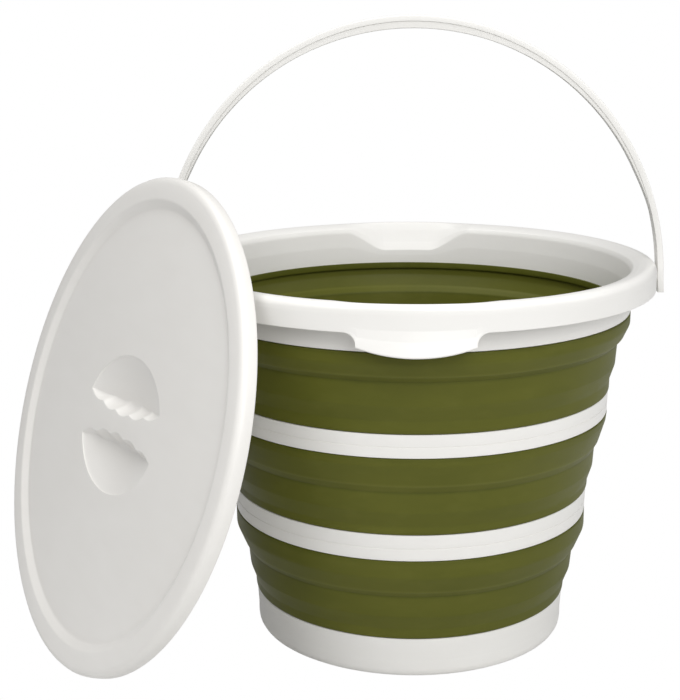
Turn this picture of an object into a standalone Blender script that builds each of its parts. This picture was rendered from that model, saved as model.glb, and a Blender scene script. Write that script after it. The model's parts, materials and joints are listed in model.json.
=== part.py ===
"""Collapsible camp bucket with a carrying bail and a lid that leans on its rim.

Three flexible bands join a base cup, two stiff hoops and a lipped rim, so that the bucket
folds flat: each band turns inside out and lets the piece above it drop past the one below.
The bucket's axis is Z, the floor is z = 0 and the front grip faces -Y. Lengths are in metres.
"""

import math
from dataclasses import dataclass

import bmesh
import bpy
from mathutils import Matrix, Vector

# Shared sizes
CLEARANCE = 0.0003
CUT_OVERRUN = 0.002
WELD_DISTANCE = 0.00001
TURN_STEPS = 40
PIN_STEPS = 16
SHARP_ANGLE = math.radians(32)
QUARTER_TURN = math.pi / 2

# Base cup
BASE_RADIUS = 0.1055
BASE_HEIGHT = 0.027
BASE_TAPER = 0.0009
BASE_CORNER = 0.012
BASE_WALL = 0.0026
BASE_FLOOR = 0.0042
BASE_COLLAR = 0.007
FOOT_RING_WIDTH = 0.0085
HUB_RADIUS = 0.014
POCKET_DEPTH = 0.0016
POCKET_RIB = 0.005
POCKET_COUNT = 8

# Hoops and flexible bands
HOOP_WALL = 0.0024
SEAM_DEPTH = 0.0003
SEAM_WIDTH = 0.0006
SEAM_HEIGHT_SHARE = 0.45
RUBBER_WALL = 0.0017
BAND_PROUD_FOOT = 0.0006
BAND_PROUD_HEAD = 0.0002
LOWER_HOOP_FOOT_RADIUS = 0.1187
LOWER_HOOP_HEAD_RADIUS = 0.1194
LOWER_HOOP_HEIGHT = 0.017
UPPER_HOOP_FOOT_RADIUS = 0.1313
UPPER_HOOP_HEAD_RADIUS = 0.1316
UPPER_HOOP_HEIGHT = 0.0148
LOWER_BAND_HEIGHT = 0.0572
MIDDLE_BAND_HEIGHT = 0.0526
UPPER_BAND_HEIGHT = 0.0526
NECK_COLLAR = 0.0027

# Rim
NECK_RADIUS = 0.144
RIM_HEIGHT = 0.032
RIM_WALL = 0.0026
SKIRT_RADIUS = 0.1597
SKIRT_HEIGHT = 0.0177
SCOOP_HALF_WIDTH = 0.0445
TONGUE_HALF_WIDTH = 0.034
TONGUE_FILLET = 0.0084
TONGUE_CORNER_DROP = 0.0077
TONGUE_CENTRE_DROP = 0.0126
TONGUE_FLARE = 0.0048
SKIRT_EDGE_BAND = 0.0025

# Bail
BAIL_SIDE_GAP = 0.0023
BAIL_CENTRE_DROP = 0.0026
BAIL_WIDTH = 0.012
BAIL_THICKNESS = 0.004
BAIL_EDGE_BEVEL = 0.0007
PIVOT_DROP = 0.0132
LEG_LENGTH = 0.0106
LEG_FLARE = 0.0008
GRIP_WIDTH = 0.0094
GRIP_DEPTH = 0.0045
GRIP_CLEARANCE = 0.0005
GRIP_SEAT = 0.001
GRIP_START_ANGLE = math.radians(14)
GRIP_FULL_ANGLE = math.radians(26)
GRIP_WALL = 0.0014
GRIP_RIB = 0.0018
GRIP_POCKET_COUNT = 18
GRIP_POCKET_SPAN = math.radians(100)
STUD_RADIUS = 0.0026
STUD_HOLE_RADIUS = 0.0031
STUD_SHOULDER_RADIUS = 0.0048
STUD_HEAD_RADIUS = 0.0037
STUD_HEAD_LENGTH = 0.0018
STUD_PLAY = 0.0005

# Lid
LID_RADIUS = 0.1606
LID_DEPTH = 0.01
LID_ROUND = 0.005
LID_WALL = 0.0024
LID_BORDER_INNER_RADIUS = 0.146
LID_PANEL_RADIUS = 0.139
LID_PANEL_DROP = 0.0034
LID_PANEL_THICKNESS = 0.0026
LOCATING_RING_RADIUS = 0.1418
LOCATING_RING_DEPTH = 0.0036
RECESS_HALF_LENGTH = 0.0565
RECESS_REACH = 0.0445
RECESS_SHALLOW = 0.0006
RECESS_DEEP = 0.0105
RECESS_WALL = 0.0018
RECESS_TURN = math.radians(3.3)
RECESS_SHIFT = (0.0029, -0.0009)
RECESS_CUT_STEPS = 13
RECESS_CUP_STEPS = 9
BAR_HALF_WIDTH = 0.0078
BAR_BOW = 0.0074
BAR_DRAFT = 0.0055
SCALLOP_DEPTH = 0.0021
SCALLOP_COUNT = 5
SCALLOP_STEPS = 4
LID_LEAN = math.radians(17.4)
LID_AZIMUTH = math.radians(-147.6)
LID_SIDESTEP = 0.0499

# Heights of the stack, from the floor up
LOWER_HOOP_FOOT = BASE_HEIGHT + LOWER_BAND_HEIGHT
LOWER_HOOP_HEAD = LOWER_HOOP_FOOT + LOWER_HOOP_HEIGHT
UPPER_HOOP_FOOT = LOWER_HOOP_HEAD + MIDDLE_BAND_HEIGHT
UPPER_HOOP_HEAD = UPPER_HOOP_FOOT + UPPER_HOOP_HEIGHT
NECK_FOOT = UPPER_HOOP_HEAD + UPPER_BAND_HEIGHT
CREST_HEIGHT = NECK_FOOT + RIM_HEIGHT
SKIRT_FOOT = CREST_HEIGHT - SKIRT_HEIGHT
PIVOT_HEIGHT = CREST_HEIGHT - PIVOT_DROP

# Radii that follow from the walls
NECK_INNER_RADIUS = NECK_RADIUS - RIM_WALL
SKIRT_INNER_RADIUS = SKIRT_RADIUS - RIM_WALL
GRIP_RADIUS = SKIRT_RADIUS + GRIP_CLEARANCE
BAIL_HALF_SPAN = SKIRT_RADIUS + BAIL_SIDE_GAP + BAIL_THICKNESS
BAIL_RISE = GRIP_RADIUS + GRIP_DEPTH + BAIL_THICKNESS

# Colours, linear
WHITE_PLASTIC = (0.86, 0.85, 0.82, 1.0)
WHITE_LID = (0.80, 0.78, 0.74, 1.0)
OLIVE_RUBBER = (0.085, 0.092, 0.018, 1.0)


@dataclass(frozen=True)
class Seat:
    """Wall that a band's collar slips behind: its outer radius at the edge and at the collar's end."""

    edge_radius: float
    end_radius: float
    wall: float
    collar: float


@dataclass(frozen=True)
class Band:
    """Flexible band: its place, its two seats and its bends as shares of height and of reach."""

    name: str
    foot_height: float
    head_height: float
    foot_seat: Seat
    head_seat: Seat
    bend_height_shares: tuple
    bend_reach_shares: tuple


@dataclass(frozen=True)
class Hoop:
    """Stiff hoop between two bands."""

    name: str
    foot_height: float
    head_height: float
    foot_radius: float
    head_radius: float

    def middle_radius(self):
        """Outer radius half way up."""
        return (self.foot_radius + self.head_radius) / 2

    def collar(self):
        """Length of each of the two collars that meet behind the hoop."""
        return (self.head_height - self.foot_height - CLEARANCE) / 2

    def foot_seat(self):
        """Seat for the collar that comes up from the band below."""
        return Seat(self.foot_radius, self.middle_radius(), HOOP_WALL, self.collar())

    def head_seat(self):
        """Seat for the collar that goes down from the band above."""
        return Seat(self.head_radius, self.middle_radius(), HOOP_WALL, self.collar())


def clear_scene():
    """Remove whatever the scene holds."""
    for obj in list(bpy.data.objects):
        bpy.data.objects.remove(obj, do_unlink=True)


def make_collection(name):
    """Return a new collection linked to the scene."""
    collection = bpy.data.collections.new(name)
    bpy.context.scene.collection.children.link(collection)
    return collection


def make_material(name, colour, roughness):
    """Return a plain plastic material."""
    material = bpy.data.materials.new(name)
    material.use_nodes = True
    shader = material.node_tree.nodes["Principled BSDF"]
    shader.inputs["Base Color"].default_value = colour
    shader.inputs["Roughness"].default_value = roughness
    shader.inputs["Metallic"].default_value = 0.0
    material.diffuse_color = colour
    return material


def arc(centre, radius, start, end, steps):
    """Return the points of an arc from one angle to another, both ends included."""
    points = []
    for step in range(steps + 1):
        angle = start + (end - start) * step / steps
        points.append((centre[0] + radius * math.cos(angle), centre[1] + radius * math.sin(angle)))
    return points


def smooth_share(value):
    """Ease a share from 0 to 1."""
    share = min(max(value, 0.0), 1.0)
    return share * share * (3 - 2 * share)


def object_from_mesh(name, mesh, collection):
    """Return a smooth-shaded object for a mesh."""
    mesh.shade_smooth()
    mesh.set_sharp_from_angle(angle=SHARP_ANGLE)
    obj = bpy.data.objects.new(name, mesh)
    collection.objects.link(obj)
    return obj


def turned(name, profile, collection, closed=False, steps=TURN_STEPS):
    """Turn a profile of (radius, height) points about Z; its outer side runs from top to bottom."""
    vertices = [(radius, 0.0, height) for radius, height in profile]
    edges = [(index, index + 1) for index in range(len(vertices) - 1)]
    if closed:
        edges.append((len(vertices) - 1, 0))
    mesh = bpy.data.meshes.new(name)
    mesh.from_pydata(vertices, edges, [])
    obj = bpy.data.objects.new(name, mesh)
    collection.objects.link(obj)
    screw = obj.modifiers.new("turn", "SCREW")
    screw.axis = "Z"
    screw.angle = math.tau
    screw.steps = steps
    screw.render_steps = steps
    screw.use_merge_vertices = True
    screw.merge_threshold = WELD_DISTANCE
    screw.use_smooth_shade = True
    return obj


def add_shell(obj, thickness):
    """Give an open surface its wall, grown away from the visible side."""
    solidify = obj.modifiers.new("wall", "SOLIDIFY")
    solidify.thickness = thickness
    solidify.offset = -1.0
    solidify.use_even_offset = True
    solidify.use_rim = True
    return solidify


def flat_solid(name, outline, thickness, collection):
    """Return a welded mesh solid for a flat outline, half its thickness to each side of its plane."""
    curve = bpy.data.curves.new(name, "CURVE")
    curve.dimensions = "2D"
    curve.fill_mode = "BOTH"
    curve.extrude = thickness / 2
    spline = curve.splines.new("POLY")
    spline.points.add(len(outline) - 1)
    for point, (x, y) in zip(spline.points, outline):
        point.co = (x, y, 0.0, 1.0)
    spline.use_cyclic_u = True
    source = bpy.data.objects.new(name + "_outline", curve)
    collection.objects.link(source)
    graph = bpy.context.evaluated_depsgraph_get()
    mesh = bpy.data.meshes.new_from_object(source.evaluated_get(graph))
    shape = bmesh.new()
    shape.from_mesh(mesh)
    bmesh.ops.remove_doubles(shape, verts=shape.verts, dist=WELD_DISTANCE)
    bmesh.ops.recalc_face_normals(shape, faces=shape.faces)
    shape.to_mesh(mesh)
    shape.free()
    mesh.name = name
    obj = object_from_mesh(name, mesh, collection)
    obj.matrix_world = source.matrix_world
    bpy.data.objects.remove(source, do_unlink=True)
    bpy.data.curves.remove(curve)
    return obj


def hide_tool(tool):
    """Mark a shape as a construction tool."""
    tool.hide_render = True
    tool.display_type = "WIRE"


def combine(obj, tool, operation):
    """Cut or join a hidden tool into an object."""
    hide_tool(tool)
    modifier = obj.modifiers.new(tool.name, "BOOLEAN")
    modifier.operation = operation
    modifier.solver = "EXACT"
    modifier.object = tool


def base_outer_radius(height):
    """Outer radius of the base cup's wall above its rounded corner."""
    slope = BASE_TAPER / (BASE_HEIGHT - BASE_CORNER)
    return BASE_RADIUS - slope * (BASE_HEIGHT - height)


def pocket_outline(start, end):
    """Return the outline of one shallow pocket under the base, with parallel-sided ribs beside it."""
    outer_radius = BASE_RADIUS - BASE_TAPER - BASE_CORNER - FOOT_RING_WIDTH
    rib = POCKET_RIB / 2
    outer_inset = math.asin(rib / outer_radius)
    hub_inset = math.asin(rib / HUB_RADIUS)
    steps = math.ceil(TURN_STEPS / POCKET_COUNT)
    outer = arc((0.0, 0.0), outer_radius, start + outer_inset, end - outer_inset, steps)
    inner = arc((0.0, 0.0), HUB_RADIUS, end - hub_inset, start + hub_inset, 2)
    return outer + inner


def make_base_cup(parts, tools, material):
    """Make the cup that closes the bottom, with a foot ring, ribs and a hub under its floor."""
    wall_foot_radius = BASE_RADIUS - BASE_TAPER
    corner_centre = wall_foot_radius - BASE_CORNER
    inner_foot_radius = wall_foot_radius - BASE_WALL
    inner_corner = BASE_CORNER - BASE_FLOOR
    inner_centre = (inner_foot_radius - inner_corner, BASE_CORNER)
    profile = [(0.0, BASE_FLOOR)]
    profile += arc(inner_centre, inner_corner, -QUARTER_TURN, 0.0, 2)
    profile += [(BASE_RADIUS - BASE_WALL, BASE_HEIGHT), (BASE_RADIUS, BASE_HEIGHT)]
    profile += arc((corner_centre, BASE_CORNER), BASE_CORNER, 0.0, -QUARTER_TURN, 4)
    profile += [(0.0, 0.0)]
    cup = turned("base_cup", profile, parts)
    cup.data.materials.append(material)
    sector = math.tau / POCKET_COUNT
    for index in range(POCKET_COUNT):
        name = "base_pocket_cutter_{:02d}".format(index + 1)
        outline = pocket_outline(sector * index, sector * (index + 1))
        cutter = flat_solid(name, outline, 2 * POCKET_DEPTH, tools)
        combine(cup, cutter, "DIFFERENCE")
    return cup


def band_profile(band):
    """Return a band's visible outline from the top of its upper collar to the foot of its lower one."""
    foot_radius = band.foot_seat.edge_radius + BAND_PROUD_FOOT
    head_radius = band.head_seat.edge_radius + BAND_PROUD_HEAD
    height = band.head_height - band.foot_height
    reach = head_radius - foot_radius
    head = band.head_height - CLEARANCE
    foot = band.foot_height + CLEARANCE
    head_gap = band.head_seat.wall + CLEARANCE
    foot_gap = band.foot_seat.wall + CLEARANCE
    profile = [
        (band.head_seat.end_radius - head_gap, band.head_height + band.head_seat.collar),
        (band.head_seat.edge_radius - head_gap, head),
        (head_radius, head),
    ]
    bends = list(zip(band.bend_reach_shares, band.bend_height_shares))
    for reach_share, height_share in reversed(bends):
        profile.append((foot_radius + reach * reach_share, band.foot_height + height * height_share))
    profile += [
        (foot_radius, foot),
        (band.foot_seat.edge_radius - foot_gap, foot),
        (band.foot_seat.end_radius - foot_gap, band.foot_height - band.foot_seat.collar),
    ]
    return profile


def make_band(band, parts, material):
    """Make one flexible band with a thin collar behind the stiff piece at each end."""
    obj = turned(band.name, band_profile(band), parts)
    add_shell(obj, RUBBER_WALL)
    obj.data.materials.append(material)
    return obj


def make_hoop(hoop, parts, material):
    """Make one stiff hoop with its moulding seam."""
    height = hoop.head_height - hoop.foot_height
    reach = hoop.head_radius - hoop.foot_radius
    seam_foot = hoop.foot_height + SEAM_HEIGHT_SHARE * height
    seam_radius = hoop.foot_radius + SEAM_HEIGHT_SHARE * reach
    seam_floor = SEAM_WIDTH / 4
    profile = [
        (hoop.head_radius, hoop.head_height),
        (seam_radius, seam_foot + SEAM_WIDTH),
        (seam_radius - SEAM_DEPTH, seam_foot + SEAM_WIDTH - seam_floor),
        (seam_radius - SEAM_DEPTH, seam_foot + seam_floor),
        (seam_radius, seam_foot),
        (hoop.foot_radius, hoop.foot_height),
        (hoop.foot_radius - HOOP_WALL, hoop.foot_height),
        (hoop.head_radius - HOOP_WALL, hoop.head_height),
    ]
    obj = turned(hoop.name, profile, parts, closed=True)
    obj.data.materials.append(material)
    return obj


# The rim's visible outline from the skirt's edge over the lip to the foot of the neck, as shares
# of the way from the neck's bore to the skirt and of the way from the neck's foot to the crest.
PLAIN_RIM_SHARES = (
    (1.0, 0.775),
    (0.98, 0.875),
    (0.863, 0.956),
    (0.678, 1.0),
    (0.306, 0.963),
    (0.109, 0.878),
    (0.077, 0.79),
    (0.022, 0.46),
    (0.0, 0.0),
)
SCOOP_RIM_SHARES = (
    (1.0, 0.775),
    (0.98, 0.875),
    (0.875, 0.945),
    (0.743, 0.972),
    (0.54, 0.78),
    (0.25, 0.51),
    (0.02, 0.338),
    (0.01, 0.24),
    (0.0, 0.0),
)
# Stations beside each grip, as shares of the tongue's half width, its fillet and the scoop.
TONGUE_STATION_SHARES = (0.26, 0.5, 0.82, 0.94, 1.0)
FILLET_STATION_SHARES = (0.05, 0.2, 0.5, 1.0)
SCOOP_STATION_SHARES = (0.96, 1.0)
STATION_SPACING = math.radians(0.1)


def tab_offset(angle):
    """Angle between a direction and the middle of the nearer grip, front or back."""
    offset = (angle + QUARTER_TURN) % math.pi
    return min(offset, math.pi - offset)


def tongue_drop(offset):
    """How far the skirt's edge hangs below its usual height, at an angle from the grip's middle."""
    along = offset * SKIRT_RADIUS
    if along >= TONGUE_HALF_WIDTH + TONGUE_FILLET:
        return 0.0
    if along > TONGUE_HALF_WIDTH:
        share = 1 - (along - TONGUE_HALF_WIDTH) / TONGUE_FILLET
        return TONGUE_CORNER_DROP * (1 - math.sqrt(max(1 - share * share, 0.0)))
    bow = TONGUE_CENTRE_DROP - TONGUE_CORNER_DROP
    return TONGUE_CENTRE_DROP - bow * (along / TONGUE_HALF_WIDTH) ** 2


def scoop_weight(offset):
    """How much of the scoop's outline the rim takes, at an angle from the grip's middle."""
    share = offset * NECK_INNER_RADIUS / SCOOP_HALF_WIDTH
    return math.sqrt(max(1 - share * share, 0.0))


def rim_outline(angle):
    """Return the rim's visible outline at an angle, as (radius, height) points."""
    offset = tab_offset(angle)
    drop = tongue_drop(offset)
    drop_share = drop / TONGUE_CENTRE_DROP
    weight = scoop_weight(offset)
    reach = SKIRT_RADIUS - NECK_INNER_RADIUS
    points = [
        (SKIRT_RADIUS + TONGUE_FLARE * drop_share, SKIRT_FOOT - drop),
        (SKIRT_RADIUS, SKIRT_FOOT + SKIRT_EDGE_BAND * (1 - drop_share)),
    ]
    for plain, scoop in zip(PLAIN_RIM_SHARES, SCOOP_RIM_SHARES):
        reach_share = plain[0] + (scoop[0] - plain[0]) * weight
        height_share = plain[1] + (scoop[1] - plain[1]) * weight
        points.append((NECK_INNER_RADIUS + reach * reach_share, NECK_FOOT + RIM_HEIGHT * height_share))
    return points


def rim_stations():
    """Return the angles at which the rim is drawn: every turning step, and more beside the grips."""
    stations = [math.tau * step / TURN_STEPS for step in range(TURN_STEPS)]
    tongue = TONGUE_HALF_WIDTH / SKIRT_RADIUS
    fillet = TONGUE_FILLET / SKIRT_RADIUS
    scoop = SCOOP_HALF_WIDTH / NECK_INNER_RADIUS
    offsets = [tongue * share for share in TONGUE_STATION_SHARES]
    offsets += [tongue + fillet * share for share in FILLET_STATION_SHARES]
    offsets += [scoop * share for share in SCOOP_STATION_SHARES]
    for middle in (-QUARTER_TURN, QUARTER_TURN):
        for offset in offsets:
            for angle in (middle - offset, middle + offset):
                wrapped = angle % math.tau
                if min(abs(wrapped - other) for other in stations) > STATION_SPACING:
                    stations.append(wrapped)
    return sorted(stations)


def make_rim(parts, tools, material):
    """Make the rim: neck, rolled lip and skirt in one wall, with a scoop and tongue front and back."""
    shape = bmesh.new()
    columns = []
    for angle in rim_stations():
        direction = Vector((math.cos(angle), math.sin(angle), 0.0))
        column = []
        for radius, height in rim_outline(angle):
            column.append(shape.verts.new(direction * radius + Vector((0.0, 0.0, height))))
        columns.append(column)
    for index, column in enumerate(columns):
        following = columns[(index + 1) % len(columns)]
        for row in range(len(column) - 1):
            corners = (column[row], following[row], following[row + 1], column[row + 1])
            shape.faces.new(corners)
    mesh = bpy.data.meshes.new("rim")
    shape.to_mesh(mesh)
    shape.free()
    rim = object_from_mesh("rim", mesh, parts)
    add_shell(rim, RIM_WALL)
    for side, sign in (("right", 1), ("left", -1)):
        cutter = make_stud_hole_cutter(side, sign, tools)
        combine(rim, cutter, "DIFFERENCE")
    rim.data.materials.append(material)
    return rim


def pivot_placement(sign, distance):
    """Placement on the pivot axis, with local Z pointing out to one side and a flat underneath."""
    place = Matrix.Translation((sign * distance, 0.0, PIVOT_HEIGHT))
    outward = Matrix.Rotation(sign * QUARTER_TURN, 4, "Y")
    half_step = Matrix.Rotation(math.pi / PIN_STEPS, 4, "Z")
    return place @ outward @ half_step


def make_stud_hole_cutter(side, sign, tools):
    """Make the cutter for one of the skirt's two pivot holes."""
    shape = bmesh.new()
    bmesh.ops.create_cone(
        shape,
        cap_ends=True,
        segments=PIN_STEPS,
        radius1=STUD_HOLE_RADIUS,
        radius2=STUD_HOLE_RADIUS,
        depth=RIM_WALL + 2 * CUT_OVERRUN,
    )
    mesh = bpy.data.meshes.new("stud_hole_cutter_" + side)
    shape.to_mesh(mesh)
    shape.free()
    cutter = object_from_mesh("stud_hole_cutter_" + side, mesh, tools)
    cutter.matrix_world = pivot_placement(sign, SKIRT_RADIUS - RIM_WALL / 2)
    return cutter


def bail_reach(angle, inset):
    """Distance from the pivot axis to the bail's oval, drawn inward by an inset, at an angle."""
    half_span = BAIL_HALF_SPAN - inset
    rise = BAIL_RISE + BAIL_CENTRE_DROP - inset
    across = math.cos(angle) / half_span
    up = math.sin(angle) / rise
    offset = BAIL_CENTRE_DROP / rise
    square = across * across + up * up
    middle = up * offset
    return (math.sqrt(middle * middle + square * (1 - offset * offset)) - middle) / square


def polar(radius, angle):
    """Return a point at a distance and an angle."""
    return (radius * math.cos(angle), radius * math.sin(angle))


def bail_strip_outline():
    """Return the outline of the bail's strip, seen from the front with the pivot at the origin."""
    steps = TURN_STEPS - TURN_STEPS // 4
    angles = [math.pi * step / steps for step in range(steps + 1)]
    outer = [polar(bail_reach(angle, 0.0), angle) for angle in angles]
    inner = [polar(bail_reach(angle, BAIL_THICKNESS), angle) for angle in reversed(angles)]
    foot_outer = bail_reach(0.0, 0.0) + LEG_FLARE
    foot_inner = bail_reach(0.0, BAIL_THICKNESS) + LEG_FLARE
    left_leg = [(-foot_outer, -LEG_LENGTH), (-foot_inner, -LEG_LENGTH)]
    right_leg = [(foot_inner, -LEG_LENGTH), (foot_outer, -LEG_LENGTH)]
    return outer + left_leg + inner + right_leg


def grip_inner_reach(angle):
    """Distance from the pivot axis to the grip's inner face, which sinks into the strip at its ends."""
    from_leg = min(angle, math.pi - angle)
    full = smooth_share((from_leg - GRIP_START_ANGLE) / (GRIP_FULL_ANGLE - GRIP_START_ANGLE))
    start = bail_reach(angle, BAIL_THICKNESS) + GRIP_SEAT / 2
    return start + (GRIP_RADIUS - start) * full


def grip_outline():
    """Return the outline of the deeper grip along the inside of the strip."""
    steps = TURN_STEPS - TURN_STEPS // 3
    span = math.pi - 2 * GRIP_START_ANGLE
    angles = [GRIP_START_ANGLE + span * step / steps for step in range(steps + 1)]
    outer = [polar(bail_reach(angle, BAIL_THICKNESS) + GRIP_SEAT, angle) for angle in angles]
    inner = [polar(grip_inner_reach(angle), angle) for angle in reversed(angles)]
    return outer + inner


def make_grip_pockets(tools):
    """Make the cutter for the row of ribbed pockets under the grip."""
    shape = bmesh.new()
    pitch = GRIP_POCKET_SPAN / GRIP_POCKET_COUNT
    first = (math.pi - GRIP_POCKET_SPAN + pitch) / 2
    inner = GRIP_RADIUS - CUT_OVERRUN
    for index in range(GRIP_POCKET_COUNT):
        angle = first + pitch * index
        outer = bail_reach(angle, BAIL_THICKNESS)
        size = (outer - inner, pitch * GRIP_RADIUS - GRIP_RIB, GRIP_WIDTH - 2 * GRIP_WALL)
        middle = Vector(((outer + inner) / 2, 0.0, 0.0))
        stretch = Matrix.Diagonal((*size, 1.0))
        place = Matrix.Rotation(angle, 4, "Z") @ Matrix.Translation(middle)
        bmesh.ops.create_cube(shape, size=1.0, matrix=place @ stretch)
    mesh = bpy.data.meshes.new("grip_pocket_cutter")
    shape.to_mesh(mesh)
    shape.free()
    return object_from_mesh("grip_pocket_cutter", mesh, tools)


def stud_profile():
    """Return the outline of a pivot stud along its own axis, measured out from the bucket's axis."""
    root = bail_reach(0.0, BAIL_THICKNESS / 2)
    shoulder = SKIRT_RADIUS + STUD_PLAY
    head = SKIRT_INNER_RADIUS - STUD_PLAY
    tip = head - STUD_HEAD_LENGTH
    return [
        (0.0, root),
        (STUD_SHOULDER_RADIUS, root),
        (STUD_SHOULDER_RADIUS, shoulder),
        (STUD_RADIUS, shoulder),
        (STUD_RADIUS, head),
        (STUD_HEAD_RADIUS, head),
        (STUD_RADIUS, tip),
        (0.0, tip),
    ]


def make_bail(parts, tools, material):
    """Make the bail with its grip, its grip pockets and a snap-in stud on each leg."""
    upright = Matrix.Translation((0.0, 0.0, PIVOT_HEIGHT)) @ Matrix.Rotation(QUARTER_TURN, 4, "X")
    bail = flat_solid("bail", bail_strip_outline(), BAIL_WIDTH, parts)
    bail.matrix_world = upright
    bevel = bail.modifiers.new("edge", "BEVEL")
    bevel.width = BAIL_EDGE_BEVEL
    bevel.segments = 1
    bevel.limit_method = "ANGLE"
    bevel.angle_limit = SHARP_ANGLE
    grip = flat_solid("bail_grip_tool", grip_outline(), GRIP_WIDTH, tools)
    grip.matrix_world = upright
    combine(bail, grip, "UNION")
    for side, sign in (("right", 1), ("left", -1)):
        stud = turned("bail_stud_tool_" + side, stud_profile(), tools, steps=PIN_STEPS)
        stud.matrix_world = pivot_placement(sign, 0.0)
        combine(bail, stud, "UNION")
    pockets = make_grip_pockets(tools)
    pockets.matrix_world = upright
    combine(bail, pockets, "DIFFERENCE")
    bail.data.materials.append(material)
    return bail


def lid_profile():
    """Return the lid's section from the middle of its face over the border to its underside."""
    step = LID_BORDER_INNER_RADIUS - LID_PANEL_RADIUS
    round_centre = (LID_RADIUS - LID_ROUND, -LID_ROUND)
    underside = -(LID_PANEL_DROP + LID_PANEL_THICKNESS)
    ring_inner = LOCATING_RING_RADIUS - LID_WALL
    step_shares = ((0.29, 0.76), (0.71, 0.15))
    profile = [(0.0, -LID_PANEL_DROP), (LID_PANEL_RADIUS, -LID_PANEL_DROP)]
    for reach_share, drop_share in step_shares:
        profile.append((LID_PANEL_RADIUS + step * reach_share, -LID_PANEL_DROP * drop_share))
    profile.append((LID_BORDER_INNER_RADIUS, 0.0))
    profile += arc(round_centre, LID_ROUND, QUARTER_TURN, 0.0, 3)
    profile += [(LID_RADIUS, -LID_DEPTH), (LID_RADIUS - LID_WALL, -LID_DEPTH)]
    profile += arc(round_centre, LID_ROUND - LID_WALL, 0.0, QUARTER_TURN, 2)
    profile += [
        (LID_BORDER_INNER_RADIUS + LID_WALL / 2, -LID_WALL),
        (LOCATING_RING_RADIUS, underside),
        (LOCATING_RING_RADIUS, underside - LOCATING_RING_DEPTH),
        (ring_inner, underside - LOCATING_RING_DEPTH),
        (ring_inner, underside),
        (0.0, underside),
    ]
    return profile


# Rows of a recess's floor, as shares of the way from its outline to its middle.
RECESS_ROW_SHARES = (0.3, 0.65)
RECESS_MIDDLE_SHARE = 0.48
SCALLOP_FOOT_SHARE = 0.4


def recess_floor(x, y):
    """Depth of a recess's dished floor below the panel, from none at the oval to most at its middle."""
    square = (x / RECESS_HALF_LENGTH) ** 2 + (y / RECESS_REACH) ** 2
    return RECESS_SHALLOW + (RECESS_DEEP - RECESS_SHALLOW) * max(1 - square, 0.0)


def recess_loops(grow, arc_steps, scallop_steps):
    """Return a recess's outline and the outline of its floor: half an oval closed by the bar's side."""
    half_length = RECESS_HALF_LENGTH + grow
    reach = RECESS_REACH + grow
    start = math.asin((BAR_HALF_WIDTH + BAR_BOW - grow) / reach)
    outline = []
    for step in range(arc_steps + 1):
        angle = start + (math.pi - 2 * start) * step / arc_steps
        outline.append((half_length * math.cos(angle), reach * math.sin(angle)))
    foot = list(outline)
    half_chord = half_length * math.cos(start)
    steps = scallop_steps * SCALLOP_COUNT
    for step in range(1, steps):
        along = 2 * step / steps - 1
        x = half_chord * along
        edge = BAR_HALF_WIDTH - grow + BAR_BOW * along * along
        bulge = SCALLOP_DEPTH * abs(math.sin(math.pi * step / scallop_steps))
        draft = BAR_DRAFT * recess_floor(x, edge) / RECESS_DEEP
        outline.append((x, edge - bulge))
        foot.append((x, edge - bulge * SCALLOP_FOOT_SHARE + draft))
    return outline, foot


def recess_solid(name, grow, top, steps, tools):
    """Make a recess-shaped solid with a dished floor and a sloping side along the lid's bar."""
    outline, foot = recess_loops(grow, *steps)
    middle = Vector((0.0, RECESS_REACH * RECESS_MIDDLE_SHARE))
    rows = [foot]
    for share in RECESS_ROW_SHARES:
        rows.append([Vector(point).lerp(middle, share) for point in foot])
    shape = bmesh.new()
    loops = [[shape.verts.new((x, y, top)) for x, y in outline]]
    for row in rows:
        loop = []
        for x, y in row:
            depth = LID_PANEL_DROP + grow + recess_floor(x, y)
            loop.append(shape.verts.new((x, y, -depth)))
        loops.append(loop)
    shape.faces.new(loops[0])
    for upper, lower in zip(loops, loops[1:]):
        for index, vertex in enumerate(upper):
            following = (index + 1) % len(upper)
            shape.faces.new((vertex, upper[following], lower[following], lower[index]))
    depth = LID_PANEL_DROP + grow + recess_floor(*middle)
    bottom = shape.verts.new((middle.x, middle.y, -depth))
    for index, vertex in enumerate(loops[-1]):
        shape.faces.new((vertex, loops[-1][(index + 1) % len(loops[-1])], bottom))
    bmesh.ops.recalc_face_normals(shape, faces=shape.faces)
    mesh = bpy.data.meshes.new(name)
    shape.to_mesh(mesh)
    shape.free()
    return object_from_mesh(name, mesh, tools)


def lid_placement():
    """Return the lid's placement: its edge on the floor and its underside against the rim's lip."""
    outward = Vector((math.cos(LID_AZIMUTH), math.sin(LID_AZIMUTH), 0.0))
    normal = outward * math.cos(LID_LEAN) + Vector((0.0, 0.0, math.sin(LID_LEAN)))
    across = Vector((0.0, 0.0, 1.0)).cross(outward).normalized()
    up_slope = normal.cross(across)
    lip_reach = 0.0
    for radius, height in rim_outline(LID_AZIMUTH):
        lip_reach = max(lip_reach, radius * math.cos(LID_LEAN) + height * math.sin(LID_LEAN))
    height = LID_RADIUS * math.cos(LID_LEAN) + LID_DEPTH * math.sin(LID_LEAN)
    underside = LID_PANEL_DROP + LID_PANEL_THICKNESS + CLEARANCE
    distance = (lip_reach - height * math.sin(LID_LEAN) + underside) / math.cos(LID_LEAN)
    centre = outward * distance - across * LID_SIDESTEP + Vector((0.0, 0.0, height))
    placement = Matrix((across, up_slope, normal)).transposed().to_4x4()
    placement.translation = centre
    return placement


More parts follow.
